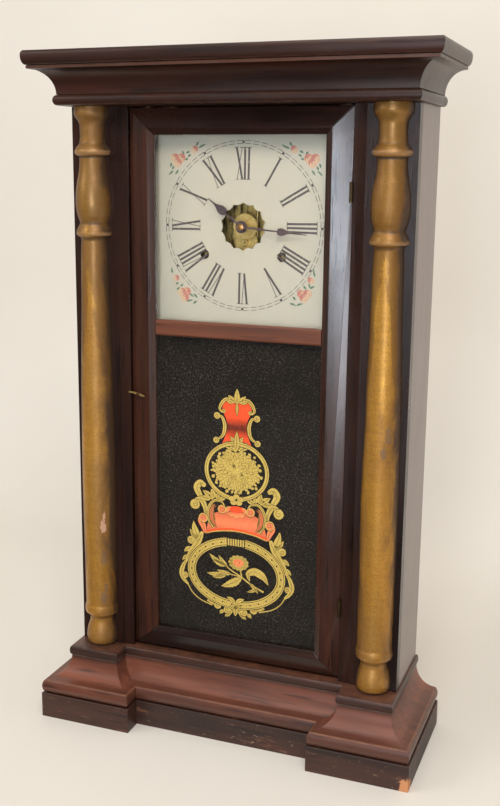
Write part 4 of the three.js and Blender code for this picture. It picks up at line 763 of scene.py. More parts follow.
def make_finishes(colours):
    """Makes every finish from the colours that a user may change."""
    dark, glow, brass = tuple(colours.mahogany_dark), tuple(colours.mahogany_glow), tuple(colours.brass)
    dial, gilt = tuple(colours.dial), tuple(colours.tablet_gilt)
    for name, grain, low, high, look in (
        ("cornice_wood", "across", (0.9,), (0.85, 0.7, 0.6), {"wear": 0.25}),
        ("base_wood", "across", (1.0,), (1.1, 1.0, 0.9), {"gloss": 0.33, "haze_and_sheen": 0.02}),
        ("door_upright", "upright", (1.0,), (1.0,), {"gloss": 0.2, "peel": 0.8}),
        ("door_across", "across", (0.8,), (0.6,), {"gloss": 0.22, "peel": 0.8}),
        ("column_board", "upright", (0.7,), (0.5,), {"gloss": 0.24, "peel": 1.3}),
        # Case sides: lighter and bluer with a painted pale sheen, a painted reflection of a bright wall
        ("side_wood", "upright", (2.0,), (1.9, 2.3, 2.6), {"gloss": 0.42, "haze_and_sheen": 0.36, "coat": 0.7}),
        ("crossbar_wood", "across", (4.0,), (3.0, 2.8, 2.2), {"gloss": 0.34}),
    ):
        varnished_wood(name, grain, tinted(dark, *low), tinted(glow, *high), **look)
    plinth_wood(dark, glow)
    bare_pine(tuple(colours.pine))
    column_gilt(tuple(colours.gilt))
    aged_brass("aged_brass", brass)
    aged_brass("plate_brass", tinted(brass, 0.85, 0.85, 0.8), stained=0.85)
    aged_brass("arbor_brass", tinted(brass, 0.5, 0.36, 0.38))
    aged_brass("dark_brass", tinted(brass, 0.14, 0.13, 0.14))
    plain_steel("plain_steel", (0.33, 0.33, 0.34), 0.38)
    plain_steel("dark_hands", (0.085, 0.06, 0.065), 0.5)
    plain_steel("gong_steel", (0.06, 0.06, 0.08), 0.35)
    cast_iron()
    dial_paint(dial)
    thin_paint("dial_ink", 330.0, 5, 0.7, (0.60, 0.70), 0.75, (0.05, 0.035, 0.034), dial, 0.5)
    petal_paint()
    thin_paint("leaf_paint", 600.0, 3, 0.55, (0.45, 0.75), 0.4, (0.045, 0.10, 0.058), dial, 0.45)
    window_glass()
    tablet_black(tuple(colours.tablet_black))
    tablet_gilt("tablet_gilt", gilt)
    tablet_gilt("tablet_gilt_dark", tinted(gilt, 0.34, 0.32, 0.3))
    tablet_red("tablet_red", tuple(colours.tablet_red), (0.11, 0.018, 0.008))
    tablet_red("tablet_pink", (0.66, 0.17, 0.07), (0.38, 0.07, 0.03))
    winding_cord()


# Sizes and colours that a user may change


def colour_setting(name, description, default):
    return FloatVectorProperty(
        name=name, description=description, subtype="COLOR", size=3, min=0, max=1, default=default
    )


def length_setting(name, description, millimetres):
    return FloatProperty(name=name, description=description, default=millimetres * MM, unit="LENGTH")


def count_setting(name, description, default, least):
    return IntProperty(name=name, description=description, default=default, min=least)


class ClockColours(bpy.types.PropertyGroup):
    """Colours of the clock's finishes, in linear light."""

    mahogany_dark: colour_setting("Mahogany, dark", "Dark streaks of the veneer", (0.013, 0.0055, 0.004))
    mahogany_glow: colour_setting("Mahogany, warm", "Warm streaks of the veneer", (0.066, 0.020, 0.010))
    gilt: colour_setting("Column paint", "Bronze paint of the half columns", (0.64, 0.32, 0.04))
    brass: colour_setting("Brass", "Aged brass of the movement", (0.70, 0.50, 0.18))
    pine: colour_setting("Pine", "Bare wood inside the case", (0.36, 0.22, 0.12))
    dial: colour_setting("Dial", "Ground of the painted dial", (0.37, 0.325, 0.255))
    tablet_black: colour_setting("Tablet, black", "Ground behind the lower glass", (0.006, 0.0038, 0.0025))
    tablet_gilt: colour_setting("Tablet, gilt", "Ornament behind the lower glass", (0.50, 0.345, 0.085))
    tablet_red: colour_setting("Tablet, red", "Red fields behind the lower glass", (0.66, 0.065, 0.018))


class ClockSizes(bpy.types.PropertyGroup):
    """Sizes of the worked surfaces, in metres, and their counts of points."""

    corner_round: length_setting("Corner rounding", "Radius worn on board corners", 0.6)
    moulding_steps: count_setting("Moulding steps", "Points along each moulding curve", 18, 4)
    column_rings: count_setting("Column rings", "Rings up each half column", 320, 40)
    column_sides: count_setting("Column sides", "Faces round each half column", 48, 12)
    numeral_inner: length_setting("Numeral foot", "Radius of the numerals' feet", 41.8)
    numeral_outer: length_setting("Numeral head", "Radius of the numerals' heads", 69.5)
    track_radius: length_setting("Minute track", "Radius of the minute track", 74.3)


# The stage, in metres and watts

FLOOR_REACH, FLOOR_BACK, FLOOR_SWEEP, BACKDROP_HEIGHT = 5.0, 0.75, 0.35, 2.4
# The dark card: its near edge, its fold, its left side, the right sides of its two leaves, its top and foot
CARD_NEAR, CARD_FOLD, CARD_LEFT, CARD_TOP, CARD_LIFT = -0.11, -1.35, -1.5, 1.5, 0.002
FLAT_RIGHT, UPRIGHT_RIGHT = 0.35, 0.0
# The camera's turn, tilt and roll in degrees, its place from the stiles' plane, its lens and its shift
CAMERA_ANGLES = (21.22, -12.41, 0.37)
CAMERA_PLACE = (0.34858, -0.90516, 0.538)
CAMERA_LENS, CAMERA_SHIFT = 48.51, (0.02324, 0.00105)
# Soft lamps: place, aim, width and height, power, colour
LAMPS = {
    "key_lamp": ((0.55, -1.5, 1.85), (0, 0, 0.35), (0.9, 0.6), 24, (1.0, 0.96, 0.91)),
    "left_lamp": ((-1.6, -1.3, 1.4), (0, 0, 0.3), (0.9, 0.9), 12, (1.0, 0.97, 0.93)),
    "top_lamp": ((0.1, -0.4, 2.2), (0, 0, 0.3), (1.4, 0.9), 14, (1.0, 0.97, 0.94)),
    "window_lamp": ((0.30, -2.6, 0.42), (0.25, 0, 0.45), (0.5, 0.62), 20, (0.82, 0.9, 1.0)),
}


class CLOCK_OT_stage(bpy.types.Operator):
    """Pale floor, soft lamps and the camera at the photograph's angle"""

    bl_idname = "clock.stage"
    bl_label = "Stage"

    def execute(self, context):
        context.scene.view_settings.view_transform = "Standard"
        make_floor()
        make_world(context.scene)
        make_camera(context.scene)
        make_lamps()
        make_dark_card()
        return {"FINISHED"}


def stage_sheet(name, points, faces, paint):
    """A smoothly shaded sheet with one material, linked to the scene. A sheet that only
    the renders have.
    """
    mesh = bpy.data.meshes.new(name)
    mesh.from_pydata(points, [], faces)
    mesh.shade_smooth()
    mesh.materials.append(paint.material)
    sheet = placed(name, mesh)
    return sheet


def make_floor():
    """A flat sheet that sweeps up into a backdrop by a quarter circle; a camera behind it sees through."""
    angle = np.linspace(0, math.pi / 2, 17)
    y = np.concatenate([[-FLOOR_REACH], FLOOR_BACK - FLOOR_SWEEP * (1 - np.sin(angle)), [FLOOR_BACK]])
    z = np.concatenate([[0.0], FLOOR_SWEEP * (1 - np.cos(angle)), [BACKDROP_HEIGHT]])
    x = np.linspace(-FLOOR_REACH, FLOOR_REACH, 9)
    points = np.stack(np.broadcast_arrays(x[None, :], y[:, None], z[:, None]), -1).reshape(-1, 3)
    paint = Paint("pale_cloth")
    paint.finish(paint.mix(paint.noise(3.0, 3), (0.705, 0.665, 0.60), (0.76, 0.725, 0.665)), 0.9)
    behind = paint.node("ShaderNodeNewGeometry", out="Backfacing")
    paint.let_through(behind * paint.node("ShaderNodeLightPath", out="Is Camera Ray"))
    stage_sheet("floor", points.tolist(), grid_faces(len(y), len(x), closed=False).tolist(), paint)


def make_world(scene):
    """Even, pale light from all round; past the floor's edge the camera sees the backdrop's own pale tone."""
    world = bpy.data.worlds.new("pale_room")
    world.use_nodes = True
    graph = Graph(world.node_tree)
    room = graph.tree.nodes["Background"]
    graph.feed(room.inputs["Color"], (0.88, 0.84, 0.80))
    graph.feed(room.inputs["Strength"], 0.42)
    beyond = graph.node("ShaderNodeBackground", {"Color": (0.84, 0.80, 0.74), "Strength": 1.0})
    camera_ray = graph.node("ShaderNodeLightPath", out="Is Camera Ray")
    seen = graph.node("ShaderNodeMixShader", {0: camera_ray, 1: Wire(graph, room.outputs[0]), 2: beyond})
    graph.feed(graph.tree.nodes["World Output"].inputs["Surface"], seen)
    scene.world = world


def make_dark_card():
    """A photographer's black card before the clock, flat and then upright, that only reflections see."""
    left, right, foot, top = CARD_LEFT, UPRIGHT_RIGHT, CARD_LIFT, CARD_TOP
    flat = [(left, CARD_NEAR), (FLAT_RIGHT, CARD_NEAR), (FLAT_RIGHT, CARD_FOLD), (left, CARD_FOLD)]
    upright = [(left, foot), (right, foot), (right, top), (left, top)]
    points = [(x, y, foot) for x, y in flat] + [(x, CARD_FOLD, z) for x, z in upright]
    paint = Paint("black_card")
    paint.finish((0.02, 0.02, 0.02), 1.0)
    card = stage_sheet("dark_card", points, [(0, 1, 2, 3), (4, 5, 6, 7)], paint)
    card.visible_camera = card.visible_diffuse = card.visible_shadow = False


def make_camera(scene):
    """Camera solved from the photograph: it looks down and to the left, and is nearly level."""
    yaw, pitch, roll = np.radians(CAMERA_ANGLES)
    ahead = Vector((-math.sin(yaw) * math.cos(pitch), math.cos(yaw) * math.cos(pitch), math.sin(pitch)))
    right = Vector((math.cos(yaw), math.sin(yaw), 0))
    up = right.cross(ahead)
    level_right = right * math.cos(roll) + up * math.sin(roll)
    level_up = up * math.cos(roll) - right * math.sin(roll)
    data = bpy.data.cameras.new("photo_camera")
    data.sensor_width = 36.0
    data.lens = CAMERA_LENS
    data.shift_x, data.shift_y = CAMERA_SHIFT
    data.clip_start, data.clip_end = 0.05, 20
    camera = placed("photo_camera", data)
    place = Vector(CAMERA_PLACE) + Vector((0, STILE_PLANE * MM, 0))
    camera.matrix_world = Matrix((*zip(level_right, level_up, -ahead, place), (0, 0, 0, 1)))
    scene.camera = camera


def make_lamps():
    """Oblong lamps, each turned from its place to its aim."""
    for name, (place, aim, size, power, colour) in LAMPS.items():
        light = bpy.data.lights.new(name, "AREA")
        light.shape, (light.size, light.size_y) = "RECTANGLE", size
        light.energy, light.color = power, colour
        lamp = placed(name, light)
        lamp.location = place
        lamp.rotation_euler = (Vector(aim) - Vector(place)).to_track_quat("-Z", "Y").to_euler()


# Mouldings, in millimetres from the stiles' plane and from the case's sides

CASE_HALF = CASE_HIGH.x / MM
# Where returns end against the case: past its side, at its back and behind the stiles
WALL_GAP, RETURN_BACK, STILE_BACK = 0.3, 84.3, 9
# The forward blocks of the base: their inner edge and how far they and the recess stand forward
BLOCK_INNER, BLOCK_PROUD, RECESS_PROUD = 89.6, 23.9, 3.75
CORNICE_PROUD = 19.9
BASE_PLINTH = [(23.9, 0.0), (23.9, 12.0), (23.9, 24.4), (23.4, 24.9)]
# Curves of the base moulding as (inner reach, outer reach, height, height), and its painted light by height,
# brightest on the cove that faces up
BASE_BEAD, BASE_COVE, BASE_SHELF = (20.1, 23.4, 25.2, 38.4), (1.2, 20.1, 60.0, 38.4), (1.2, 2.9, 60.3, 69.2)
BASE_PAINTED_LIGHT = ([25, 38, 42, 56, 59.5, 60.5], [0.35, 0.4, 0.9, 0.75, 0.1, 0.0])
CORNICE_BEAD, CORNICE_COVE = (2.4, 5.9, 588.85, 598.2), (3.2, 21.4, 598.5, 619.7)
CORNICE_FILLET = [(22.2, 619.7), (22.2, 622.4)]
CAP_FOOT, CAP_SWELL, CAP_RISE = (22.2, 622.7), 3.5, 12.3 * 0.63
CAP_TOP = [(25.7, 632.4), (24.95, 633.8), (24.2, 635.0)]
# Rounding of the edges of mouldings and of the plinth, in metres
MOULDING_EDGE, PLINTH_EDGE = 0.5 * MM, 0.7 * MM
# Degrees of bend from which a moulding is creased and from which it is eased
MOULDING_CREASE, MOULDING_EASED = 32, 55
# How far along a moulding its bends are felt, in millimetres, and the wear of its two ends
MOULDING_REACH, END_WEAR = 1.8, 0.6


def nose(root, proud, bottom, top, count):
    """Half ellipse that bulges from root to proud between two heights."""
    angle = np.linspace(0, math.pi, count)
    height = (bottom + top) / 2 - (top - bottom) / 2 * np.cos(angle)
    return np.stack([root + (proud - root) * np.sin(angle), height], -1)


def hollow(wall, proud, wall_z, proud_z, count):
    """Quarter ellipse that leaves the wall upright and sweeps out level."""
    angle = np.linspace(0, math.pi / 2, count)
    height = wall_z + (proud_z - wall_z) * np.sin(angle)
    return np.stack([wall + (proud - wall) * (1 - np.cos(angle)), height], -1)


def plan_lines(proud, front, *corners):
    """Plan at each proud distance: a return, the front with its inner corners, a return and the case."""
    case = (CASE_HALF + WALL_GAP, RETURN_BACK, STILE_BACK)
    side, (wall, back, stile) = CASE_HALF + proud, (np.full_like(proud, value) for value in case)
    right = [(side, front), (side, back), (wall, back), (wall, stile)]
    left = [(-x, y) for x, y in reversed(right)]
    return [np.stack(row, -1) for row in zip(*left[2:], *corners, *right, *left[:2])]


def base_plan(proud):
    """Plan of the base: two returns, two forward blocks and the recess between them."""
    inner = BLOCK_INNER + BLOCK_PROUD - proud
    front, recess = -proud - BLOCK_PROUD, -proud - RECESS_PROUD
    return plan_lines(proud, front, (-inner, front), (-inner, recess), (inner, recess), (inner, front))


def cornice_plan(proud):
    """Plan of the cornice: the front and two returns."""
    return plan_lines(proud, -proud - CORNICE_PROUD)


def moulding(name, node, profile, plan, material, width=MOULDING_EDGE, painted_light=0.0):
    """A profile of (proud, height) carried round a plan, whose corners at every height make true mitres."""
    proud, height = profile.T
    x, y = plan(proud)
    z = np.broadcast_to(height[:, None], x.shape)
    points = np.stack([x, y + STILE_PLANE, z], -1).reshape(-1, 3) * MM
    rows, corners = x.shape
    wear, dust = bend_marks(proud, height, MOULDING_REACH)
    wear[0] = wear[-1] = END_WEAR
    marks = {"wear": wear, "dust": dust, "painted_light": np.broadcast_to(painted_light, rows)}
    marks = {mark: np.repeat(values, corners) for mark, values in marks.items()}
    faces = capped_faces(rows, corners)
    piece = new_piece(name, points, faces, "case", "mahogany", [material], None, marks, MOULDING_CREASE)
    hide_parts(node)
    eased(piece, width, MOULDING_EASED)


class CLOCK_OT_mouldings(bpy.types.Operator):
    """Plinth, base moulding, cornice and cap"""

    bl_idname = "clock.mouldings"
    bl_label = "Mouldings"

    def execute(self, context):
        finish, steps = finishes(context), context.scene.clock_sizes.moulding_steps
        cove = hollow(*BASE_COVE, steps + 6)[::-1]
        base = np.concatenate([nose(*BASE_BEAD, steps), cove[1:], nose(*BASE_SHELF, steps)])
        painted_light = np.interp(base[:, 1], *BASE_PAINTED_LIGHT)
        moulding("base_moulding_worked", "base_moulding", base, base_plan, finish["base_wood"], painted_light=painted_light)
        plinth, wood = np.array(BASE_PLINTH), finish["plinth_wood"]
        moulding("base_plinth_worked", "base_plinth", plinth, base_plan, wood, PLINTH_EDGE)
        wood = finish["cornice_wood"]
        bead, cove = nose(*CORNICE_BEAD, steps), hollow(*CORNICE_COVE, steps + 6)
        cornice = np.concatenate([bead, cove, CORNICE_FILLET])
        moulding("cornice_worked", "cornice_moulding", cornice, cornice_plan, wood)
        angle = np.linspace(0, math.pi / 2, steps)
        ogee = CAP_FOOT + np.stack([CAP_SWELL * np.sin(angle), CAP_RISE * (1 - np.cos(angle))], -1)
        cap = np.concatenate([ogee, CAP_TOP])
        moulding("cornice_cap_worked", "cornice_cap", cap, cornice_plan, wood)
        return {"FINISHED"}


# Half columns

# How far painted shade reaches round a column from its board, in radians, and dust up from its foot, in
# millimetres
BOARD_SHADE_REACH = 1.5
FOOT_DUST = 6.0
# How far up a column its bends are felt, in millimetres, and the bend in degrees that shows a crease
COLUMN_REACH, COLUMN_CREASE = 3.0, 60
# A column's outline: its radius, as a share of the largest, and the share of its height where it has it
COLUMN_SHARES = [
    (0.8, 0), (0.9, 0.006), (0.93, 0.014), (0.91, 0.022), (0.86, 0.031), (0.78, 0.04),
    (0.73, 0.046), (0.72, 0.053), (0.8, 0.058), (0.94, 0.062), (1.0, 0.068), (0.98, 0.076),
    (0.93, 0.08), (0.935, 0.1), (0.98, 0.335), (0.945, 0.482),
    (0.815, 0.665), (0.765, 0.76), (0.745, 0.769), (0.8, 0.775), (0.97, 0.779), (1.0, 0.783),
    (0.94, 0.79), (0.8, 0.8), (0.92, 0.814), (1.0, 0.834), (0.98, 0.852), (0.9, 0.872),
    (0.81, 0.888), (0.76, 0.908), (0.76, 0.915), (0.95, 0.919), (1.0, 0.924), (0.9, 0.931),
    (0.75, 0.938), (0.71, 0.95), (0.72, 0.967), (0.76, 0.973), (0.84, 0.978), (0.95, 0.983),
    (1.0, 0.989), (0.98, 1),
]


def half_column(name, node, material, rings, sides):
    """A half lathe turning: radius by height from the shares, through a half turn, with a flat sawn back."""
    low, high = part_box(node)
    share, height_share = np.array(COLUMN_SHARES).T
    stations = [low.z + (high.z - low.z) * height_share, (high.x - low.x) / 2 * share]
    height, radius = smooth_curve(np.stack(stations, -1) / MM, rings)
    angle = np.linspace(math.pi, 2 * math.pi, sides)
    x = (low.x + high.x) / 2 / MM + radius[:, None] * np.cos(angle)
    y = high.y / MM + radius[:, None] * np.sin(angle)
    z = np.broadcast_to(height[:, None], x.shape)
    points = np.stack([x, y, z], -1).reshape(-1, 3) * MM
    wear, dust = bend_marks(radius, height, COLUMN_REACH)
    foot = np.clip(1 - (height - height[0]) / FOOT_DUST, 0, 1)
    # Painted shade mark: 1 where the column meets its board, fading to 0 round it
    edge = np.clip(1 - np.minimum(angle - math.pi, 2 * math.pi - angle) / BOARD_SHADE_REACH, 0, 1)
    dusty = np.repeat(np.maximum(dust, foot), sides)
    marks = {"wear": np.repeat(wear, sides), "dust": dusty, "board_shade": np.broadcast_to(edge, x.shape)}
    faces = capped_faces(len(height), sides)
    piece = new_piece(name, points, faces, "case", "gilt", [material], None, marks, COLUMN_CREASE)
    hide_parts(node)


class CLOCK_OT_columns(bpy.types.Operator):
    """The two turned half columns"""

    bl_idname = "clock.columns"
    bl_label = "Half columns"

    def execute(self, context):
        paint, sizes = finishes(context)["column_gilt"], context.scene.clock_sizes
        for side in ("left", "right"):
            name, node = f"column_{side}_turned", f"half_column_{side}"
            half_column(name, node, paint, sizes.column_rings, sizes.column_sides)
        return {"FINISHED"}


# Boards of the case and door, with their finish and their slot

BOARDS = {
    "case_side_left case_side_right": ("side_wood", "dark_case"),
    "front_stile_left front_stile_right": ("column_board", "dark_case"),
    "door_stile_left door_stile_right": ("door_upright", "mahogany"),
    "door_rail_lower door_rail_upper": ("door_across", "mahogany"),
    "door_crossbar": ("crossbar_wood", "mahogany"),
    "weight_partition_left weight_partition_right floor_board back_board top_board": ("bare_pine", "pine"),
}


class CLOCK_OT_boards(bpy.types.Operator):
    """Case boards and door frame with worn corners"""

    bl_idname = "clock.boards"
    bl_label = "Case and door"

    def execute(self, context):
        finish, rounding = finishes(context), context.scene.clock_sizes.corner_round
        for nodes, (material, slot) in BOARDS.items():
            for node in nodes.split():
                worked_node(node, finish[material], slot, rounding)
        return {"FINISHED"}


# Dial

NUMERALS = ["XII", "I", "II", "III", "IIII", "V", "VI", "VII", "VIII", "IX", "X", "XI"]
LETTER_WIDTH = {"I": 3.9, "V": 6.6, "X": 7.0}
# Half-widths of a numeral's thick strokes, thin strokes and serifs, in millimetres
STROKE_HALVES = (0.95, 0.3, 0.28)
# The minute track: half its breadth, half the breadth of its lines and squares, and the gap at each minute
TRACK_HALF, TRACK_LINE, TRACK_SQUARE, TRACK_GAP = 1.3, 0.24, 1.15, 0.2
# Paint on the dial: how far it stands off, how thick it is and the step from layer to layer
DIAL_PAINT = (0.06, 0.05, 0.012)
INK, PETAL, LEAF = range(3)
# Roses as their lobes, in millimetres from the dial's middle, their blush in degrees and their reach
TOP_ROSES = [([(-64.0, 56.0), (-66.6, 60.0), (-60.4, 60.0)], 4.3), ([(-47.2, 67.6)], 3.4)]
LOW_ROSES = [
    ([(-57.4, -66.0), (-60.0, -61.6), (-55.4, -60.8)], 20, 4.3), ([(-66.0, -48.6)], 20, 3.0),
    ([(58.6, -61.4), (56.2, -58.0), (61.8, -57.6)], 160, 4.1), ([(65.0, -45.6)], 160, 3.0),
]
# Leaves as (foot, tip), for the top left and for the two low corners
TOP_LEAVES = [
    ((-70.2, 56), (-71.5, 51.6)), ((-68, 53.4), (-69.3, 49.8)), ((-68.6, 49.2), (-73.2, 45.0)),
    ((-63.2, 50.0), (-66.6, 45.4)), ((-59.7, 66.4), (-57.4, 62.8)), ((-52.0, 66.6), (-55.6, 64.4)),
    ((-51.0, 63.8), (-54.2, 61.0)), ((-53.2, 59.6), (-57.6, 59.0)), ((-43.4, 68.6), (-35.6, 72.2)),
    ((-45.4, 70.8), (-42.8, 74.6)),
]
LOW_LEAVES = [
    ((-69.4, -44.4), (-70.3, -38.8)), ((-66.2, -54.8), (-63.2, -52.8)), ((-61.2, -56.6), (-58.6, -53.8)),
    ((-65.4, -59.8), (-61.8, -57.4)), ((-52.8, -62.6), (-48.2, -65.8)), ((-48.6, -62.6), (-44.2, -66.6)),
    ((-55.6, -70.2), (-48.9, -68.6)), ((-48.8, -72.0), (-44.2, -69.0)), ((68.8, -42.2), (67.2, -35.0)),
    ((57.6, -50.4), (61.0, -54.8)), ((62.6, -48.2), (64.0, -52.6)), ((64.2, -52.8), (68.6, -50.6)),
    ((48.2, -60.6), (50.8, -64.0)), ((45.2, -67.0), (51.8, -68.8)), ((51.6, -68.6), (58.4, -66.6)),
]


def letter_strokes(letter, left):
    """Strokes of one numeral letter, as (from, to, half-width), across in millimetres and up as a share."""
    middle, right = left + LETTER_WIDTH[letter] / 2, left + LETTER_WIDTH[letter]
    thick, thin, serif = STROKE_HALVES
    if letter == "I":
        ends = [((left - 0.3, v), (right + 0.3, v), serif) for v in (0, 1)]
        return [((middle, 0), (middle, 1), thick), *ends]
    if letter == "V":
        foot = (middle + 0.2, 0)
        ends = [((a, 1), (b, 1), serif) for a, b in ((left - 0.7, left + 2.6), (right - 2.4, right + 0.7))]
        return [((left + 0.9, 1), foot, thick), ((right - 0.9, 1), foot, thin), *ends]
    ends = [(left - 0.7, left + 2.8), (right - 2.8, right + 0.7)]
    ends = [((a, v), (b, v), serif) for a, b in ends for v in (0, 1)]
    return [((left + 0.9, 1), (right - 0.9, 0), thick), ((right - 0.9, 1), (left + 0.9, 0), thin), *ends]


def add_numerals(slabs, inner, outer):
    """Roman numerals with their feet to the middle; letters narrow towards it as the radius does."""
    for hour, text in enumerate(NUMERALS):
        left = -sum(LETTER_WIDTH[letter] for letter in text) / 2
        turn = math.radians(30 * hour)
        for letter in text:
            for layer, (start, end, half) in enumerate(letter_strokes(letter, left)):
                across, up = np.linspace(start, end, 8).T
                radius = inner + (outer - inner) * up
                across = across * (0.72 + 0.28 * radius / outer)
                x = radius * math.sin(turn) + across * math.cos(turn)
                z = radius * math.cos(turn) - across * math.sin(turn)
                slabs.add(np.stack([x, z], -1), half, INK, 1 + layer % 4)
            left += LETTER_WIDTH[letter]


def add_track(slabs, radius):
    """Two fine circles broken at each minute, and a small square to each fifth."""
    for minute in range(60):
        angle = np.radians(6 * (minute + np.linspace(TRACK_GAP, 1 - TRACK_GAP * 0.4, 6)))
        for offset in (-TRACK_HALF, TRACK_HALF):
            slabs.add(np.stack([np.sin(angle), np.cos(angle)], -1) * (radius + offset), TRACK_LINE, INK)
    for hour in range(12):
        turn = math.radians(30 * hour)
        reach = [radius - TRACK_SQUARE, radius, radius + TRACK_SQUARE]
        slabs.add(np.outer(reach, [math.sin(turn), math.cos(turn)]), TRACK_SQUARE, INK, 2)


def add_rose(slabs, lobes, blush, reach):
    """A rose of pale round lobes, each with pink crescents on the side that blush, in degrees, points to."""
    for k, centre in enumerate(lobes):
        slabs.add(*disc(centre, reach), PETAL, 1 + k % 3, tint=(0.0, 0.45))
        for share, width, spread in ((0.74, 1.15, 95), (0.30, 0.8, 70)):
            angle = np.radians(np.linspace(blush - spread, blush + spread, 14))
            line = round_points(centre, reach * share, reach * share, angle)
            slabs.add(line, leaf_width(14, width), PETAL, 4 + k % 3, tint=(0.85, 1.0))


def add_leaves(slabs, leaves, flip=(1, 1)):
    """Small painted leaves that bow to one side."""
    for foot, tip in leaves:
        line = bowed(np.multiply(foot, flip), np.multiply(tip, flip), 0.14, 12)
        slabs.add(line, leaf_width(12, 0.95), LEAF, 1)


def add_corner_sprays(slabs):
    """A rose, a bud and loose leaves in each corner of the dial; the top two mirror one another."""
    for flip, blush in (((1, 1), 50), ((-1, 1), 130)):
        for lobes, reach in TOP_ROSES:
            add_rose(slabs, np.array(lobes) * flip, blush, reach)
        add_leaves(slabs, TOP_LEAVES, flip)
    for rose in LOW_ROSES:
        add_rose(slabs, *rose)
    add_leaves(slabs, LOW_LEAVES)


def dress(node, material):
    """Gives a CAD node a material."""
    NODES[node].data.materials.clear()
    NODES[node].data.materials.append(material)


class CLOCK_OT_dial(bpy.types.Operator):
    """Dial paint, numerals, minute track and corner sprays"""

    bl_idname = "clock.dial"
    bl_label = "Dial"

    def execute(self, context):
        finish, sizes = finishes(context), context.scene.clock_sizes
        dress("dial", finish["dial_ground"])
        clear, thick, step = DIAL_PAINT
        slabs = Slabs(DIAL_LOW.y / MM - clear, thick, step, middle=(0, DIAL_CENTRE.z / MM))
        add_track(slabs, sizes.track_radius / MM)
        add_numerals(slabs, sizes.numeral_inner / MM, sizes.numeral_outer / MM)
        add_corner_sprays(slabs)
        paints = [finish[name] for name in ("dial_ink", "petal_paint", "leaf_paint")]
        slabs.piece("dial_painting", "case", "dial_paint", paints)
        return {"FINISHED"}


# Tablet: ornament behind the lower glass, in millimetres from the clock's middle line

GILT, GILT_DARK, RED, PINK, BLACK = range(5)
TABLET_FINISHES = ("tablet_gilt", "tablet_gilt_dark", "tablet_red", "tablet_pink", "tablet_black")
ORNAMENT_MIDDLE = -1.0
# Ornament and black ground: how far their fronts lie behind the glass, their thickness, the ornament's step
ORNAMENT_PAINT, GROUND_PAINT = (0.30, 0.03, 0.016), (0.36, 0.25, 0.0)
GROUND_MARGIN = 0.2


def rimmed(slabs, line, half, layer, slot=GILT, both=True, rim=0.55, vein=0.0):
    """A shape with a dark rim that parts it from its neighbours, and an engraved line down its middle."""
    half = np.broadcast_to(np.asarray(half, float), len(line))
    slabs.add(line, half + rim, BLACK, layer, both=both)
    slabs.add(line, half, slot, layer + 1, both=both)
    if vein:
        slabs.add(line[2:-2], np.minimum(vein, half[2:-2] * 0.4), GILT_DARK, layer + 2, both=both)


def scroll_band(slabs, points, half, layer, slot=GILT, fullest=0.5):
    """A pair of bands through points, fullest at some share of their length, with an engraved line."""
    line = through(*points)
    swell = np.sin(math.pi * np.linspace(0, 1, len(line)) ** (math.log(0.5) / math.log(fullest)))
    rimmed(slabs, line, half * (0.45 + 0.55 * swell), layer, slot, vein=0.3)


def curl(slabs, x, z, reach, layer, turn=0, slot=GILT):
    """A pair of rolled ends: discs with an engraved spiral; a coloured one lies on a gilt disc."""
    rimmed(slabs, *disc((x, z), reach), layer)
    if slot != GILT:
        slabs.add(*disc((x, z), reach * 0.8), slot, layer + 1.5, (0.0, 0.3), both=True)
    t = np.linspace(0, 1, 24)
    radius = reach * 0.72 * (0.2 / 0.72) ** t
    line = round_points((x, z), radius, radius, np.radians(turn) + 2.5 * math.pi * t)
    slabs.add(line, 0.28, GILT_DARK, layer + 2, both=True)


def leaf(slabs, foot, tip, width, layer, bow=0.12, both=True, teeth=0):
    """A leaf from foot to tip that bows to one side, with toothed edges and an engraved vein."""
    count = 31 if teeth else 14
    edge = 0.8 + 0.2 * np.abs(np.cos(np.linspace(0, teeth * math.pi, count))) if teeth else 1.0
    line, half = bowed(foot, tip, bow, count), leaf_width(count, width) * edge
    rimmed(slabs, line, half, layer, both=both, rim=0.5, vein=0.28)


def middle_leaf(slabs, foot, tip, width, layer):
    """A straight leaf on the middle line, between two heights."""
    leaf(slabs, (0, foot), (0, tip), width, layer, bow=0, both=False)


def leaves(slabs, *rows):
    """Pairs of leaves, each a row of foot, tip, width, layer and perhaps bow."""
    for row in rows:
        leaf(slabs, *row)


def filled(slabs, stations, slot, tint):
    """A field symmetric about the middle: half-width by height through stations, with its tint by height."""
    height, half = smooth_curve(stations, 30)
    slabs.add(np.stack([0 * height, height], -1), half, slot, 0, np.clip(tint(height), 0, 1))


def swag(slabs, x, ends, knees, half, slot, layer):
    """A shallow arch from side to side through its ends, its knees and its middle."""
    points = [(-x, ends), (-16, knees), (0, knees + 1.5), (16, knees), (x, ends)]
    slabs.add(through(*points), half, slot, layer)


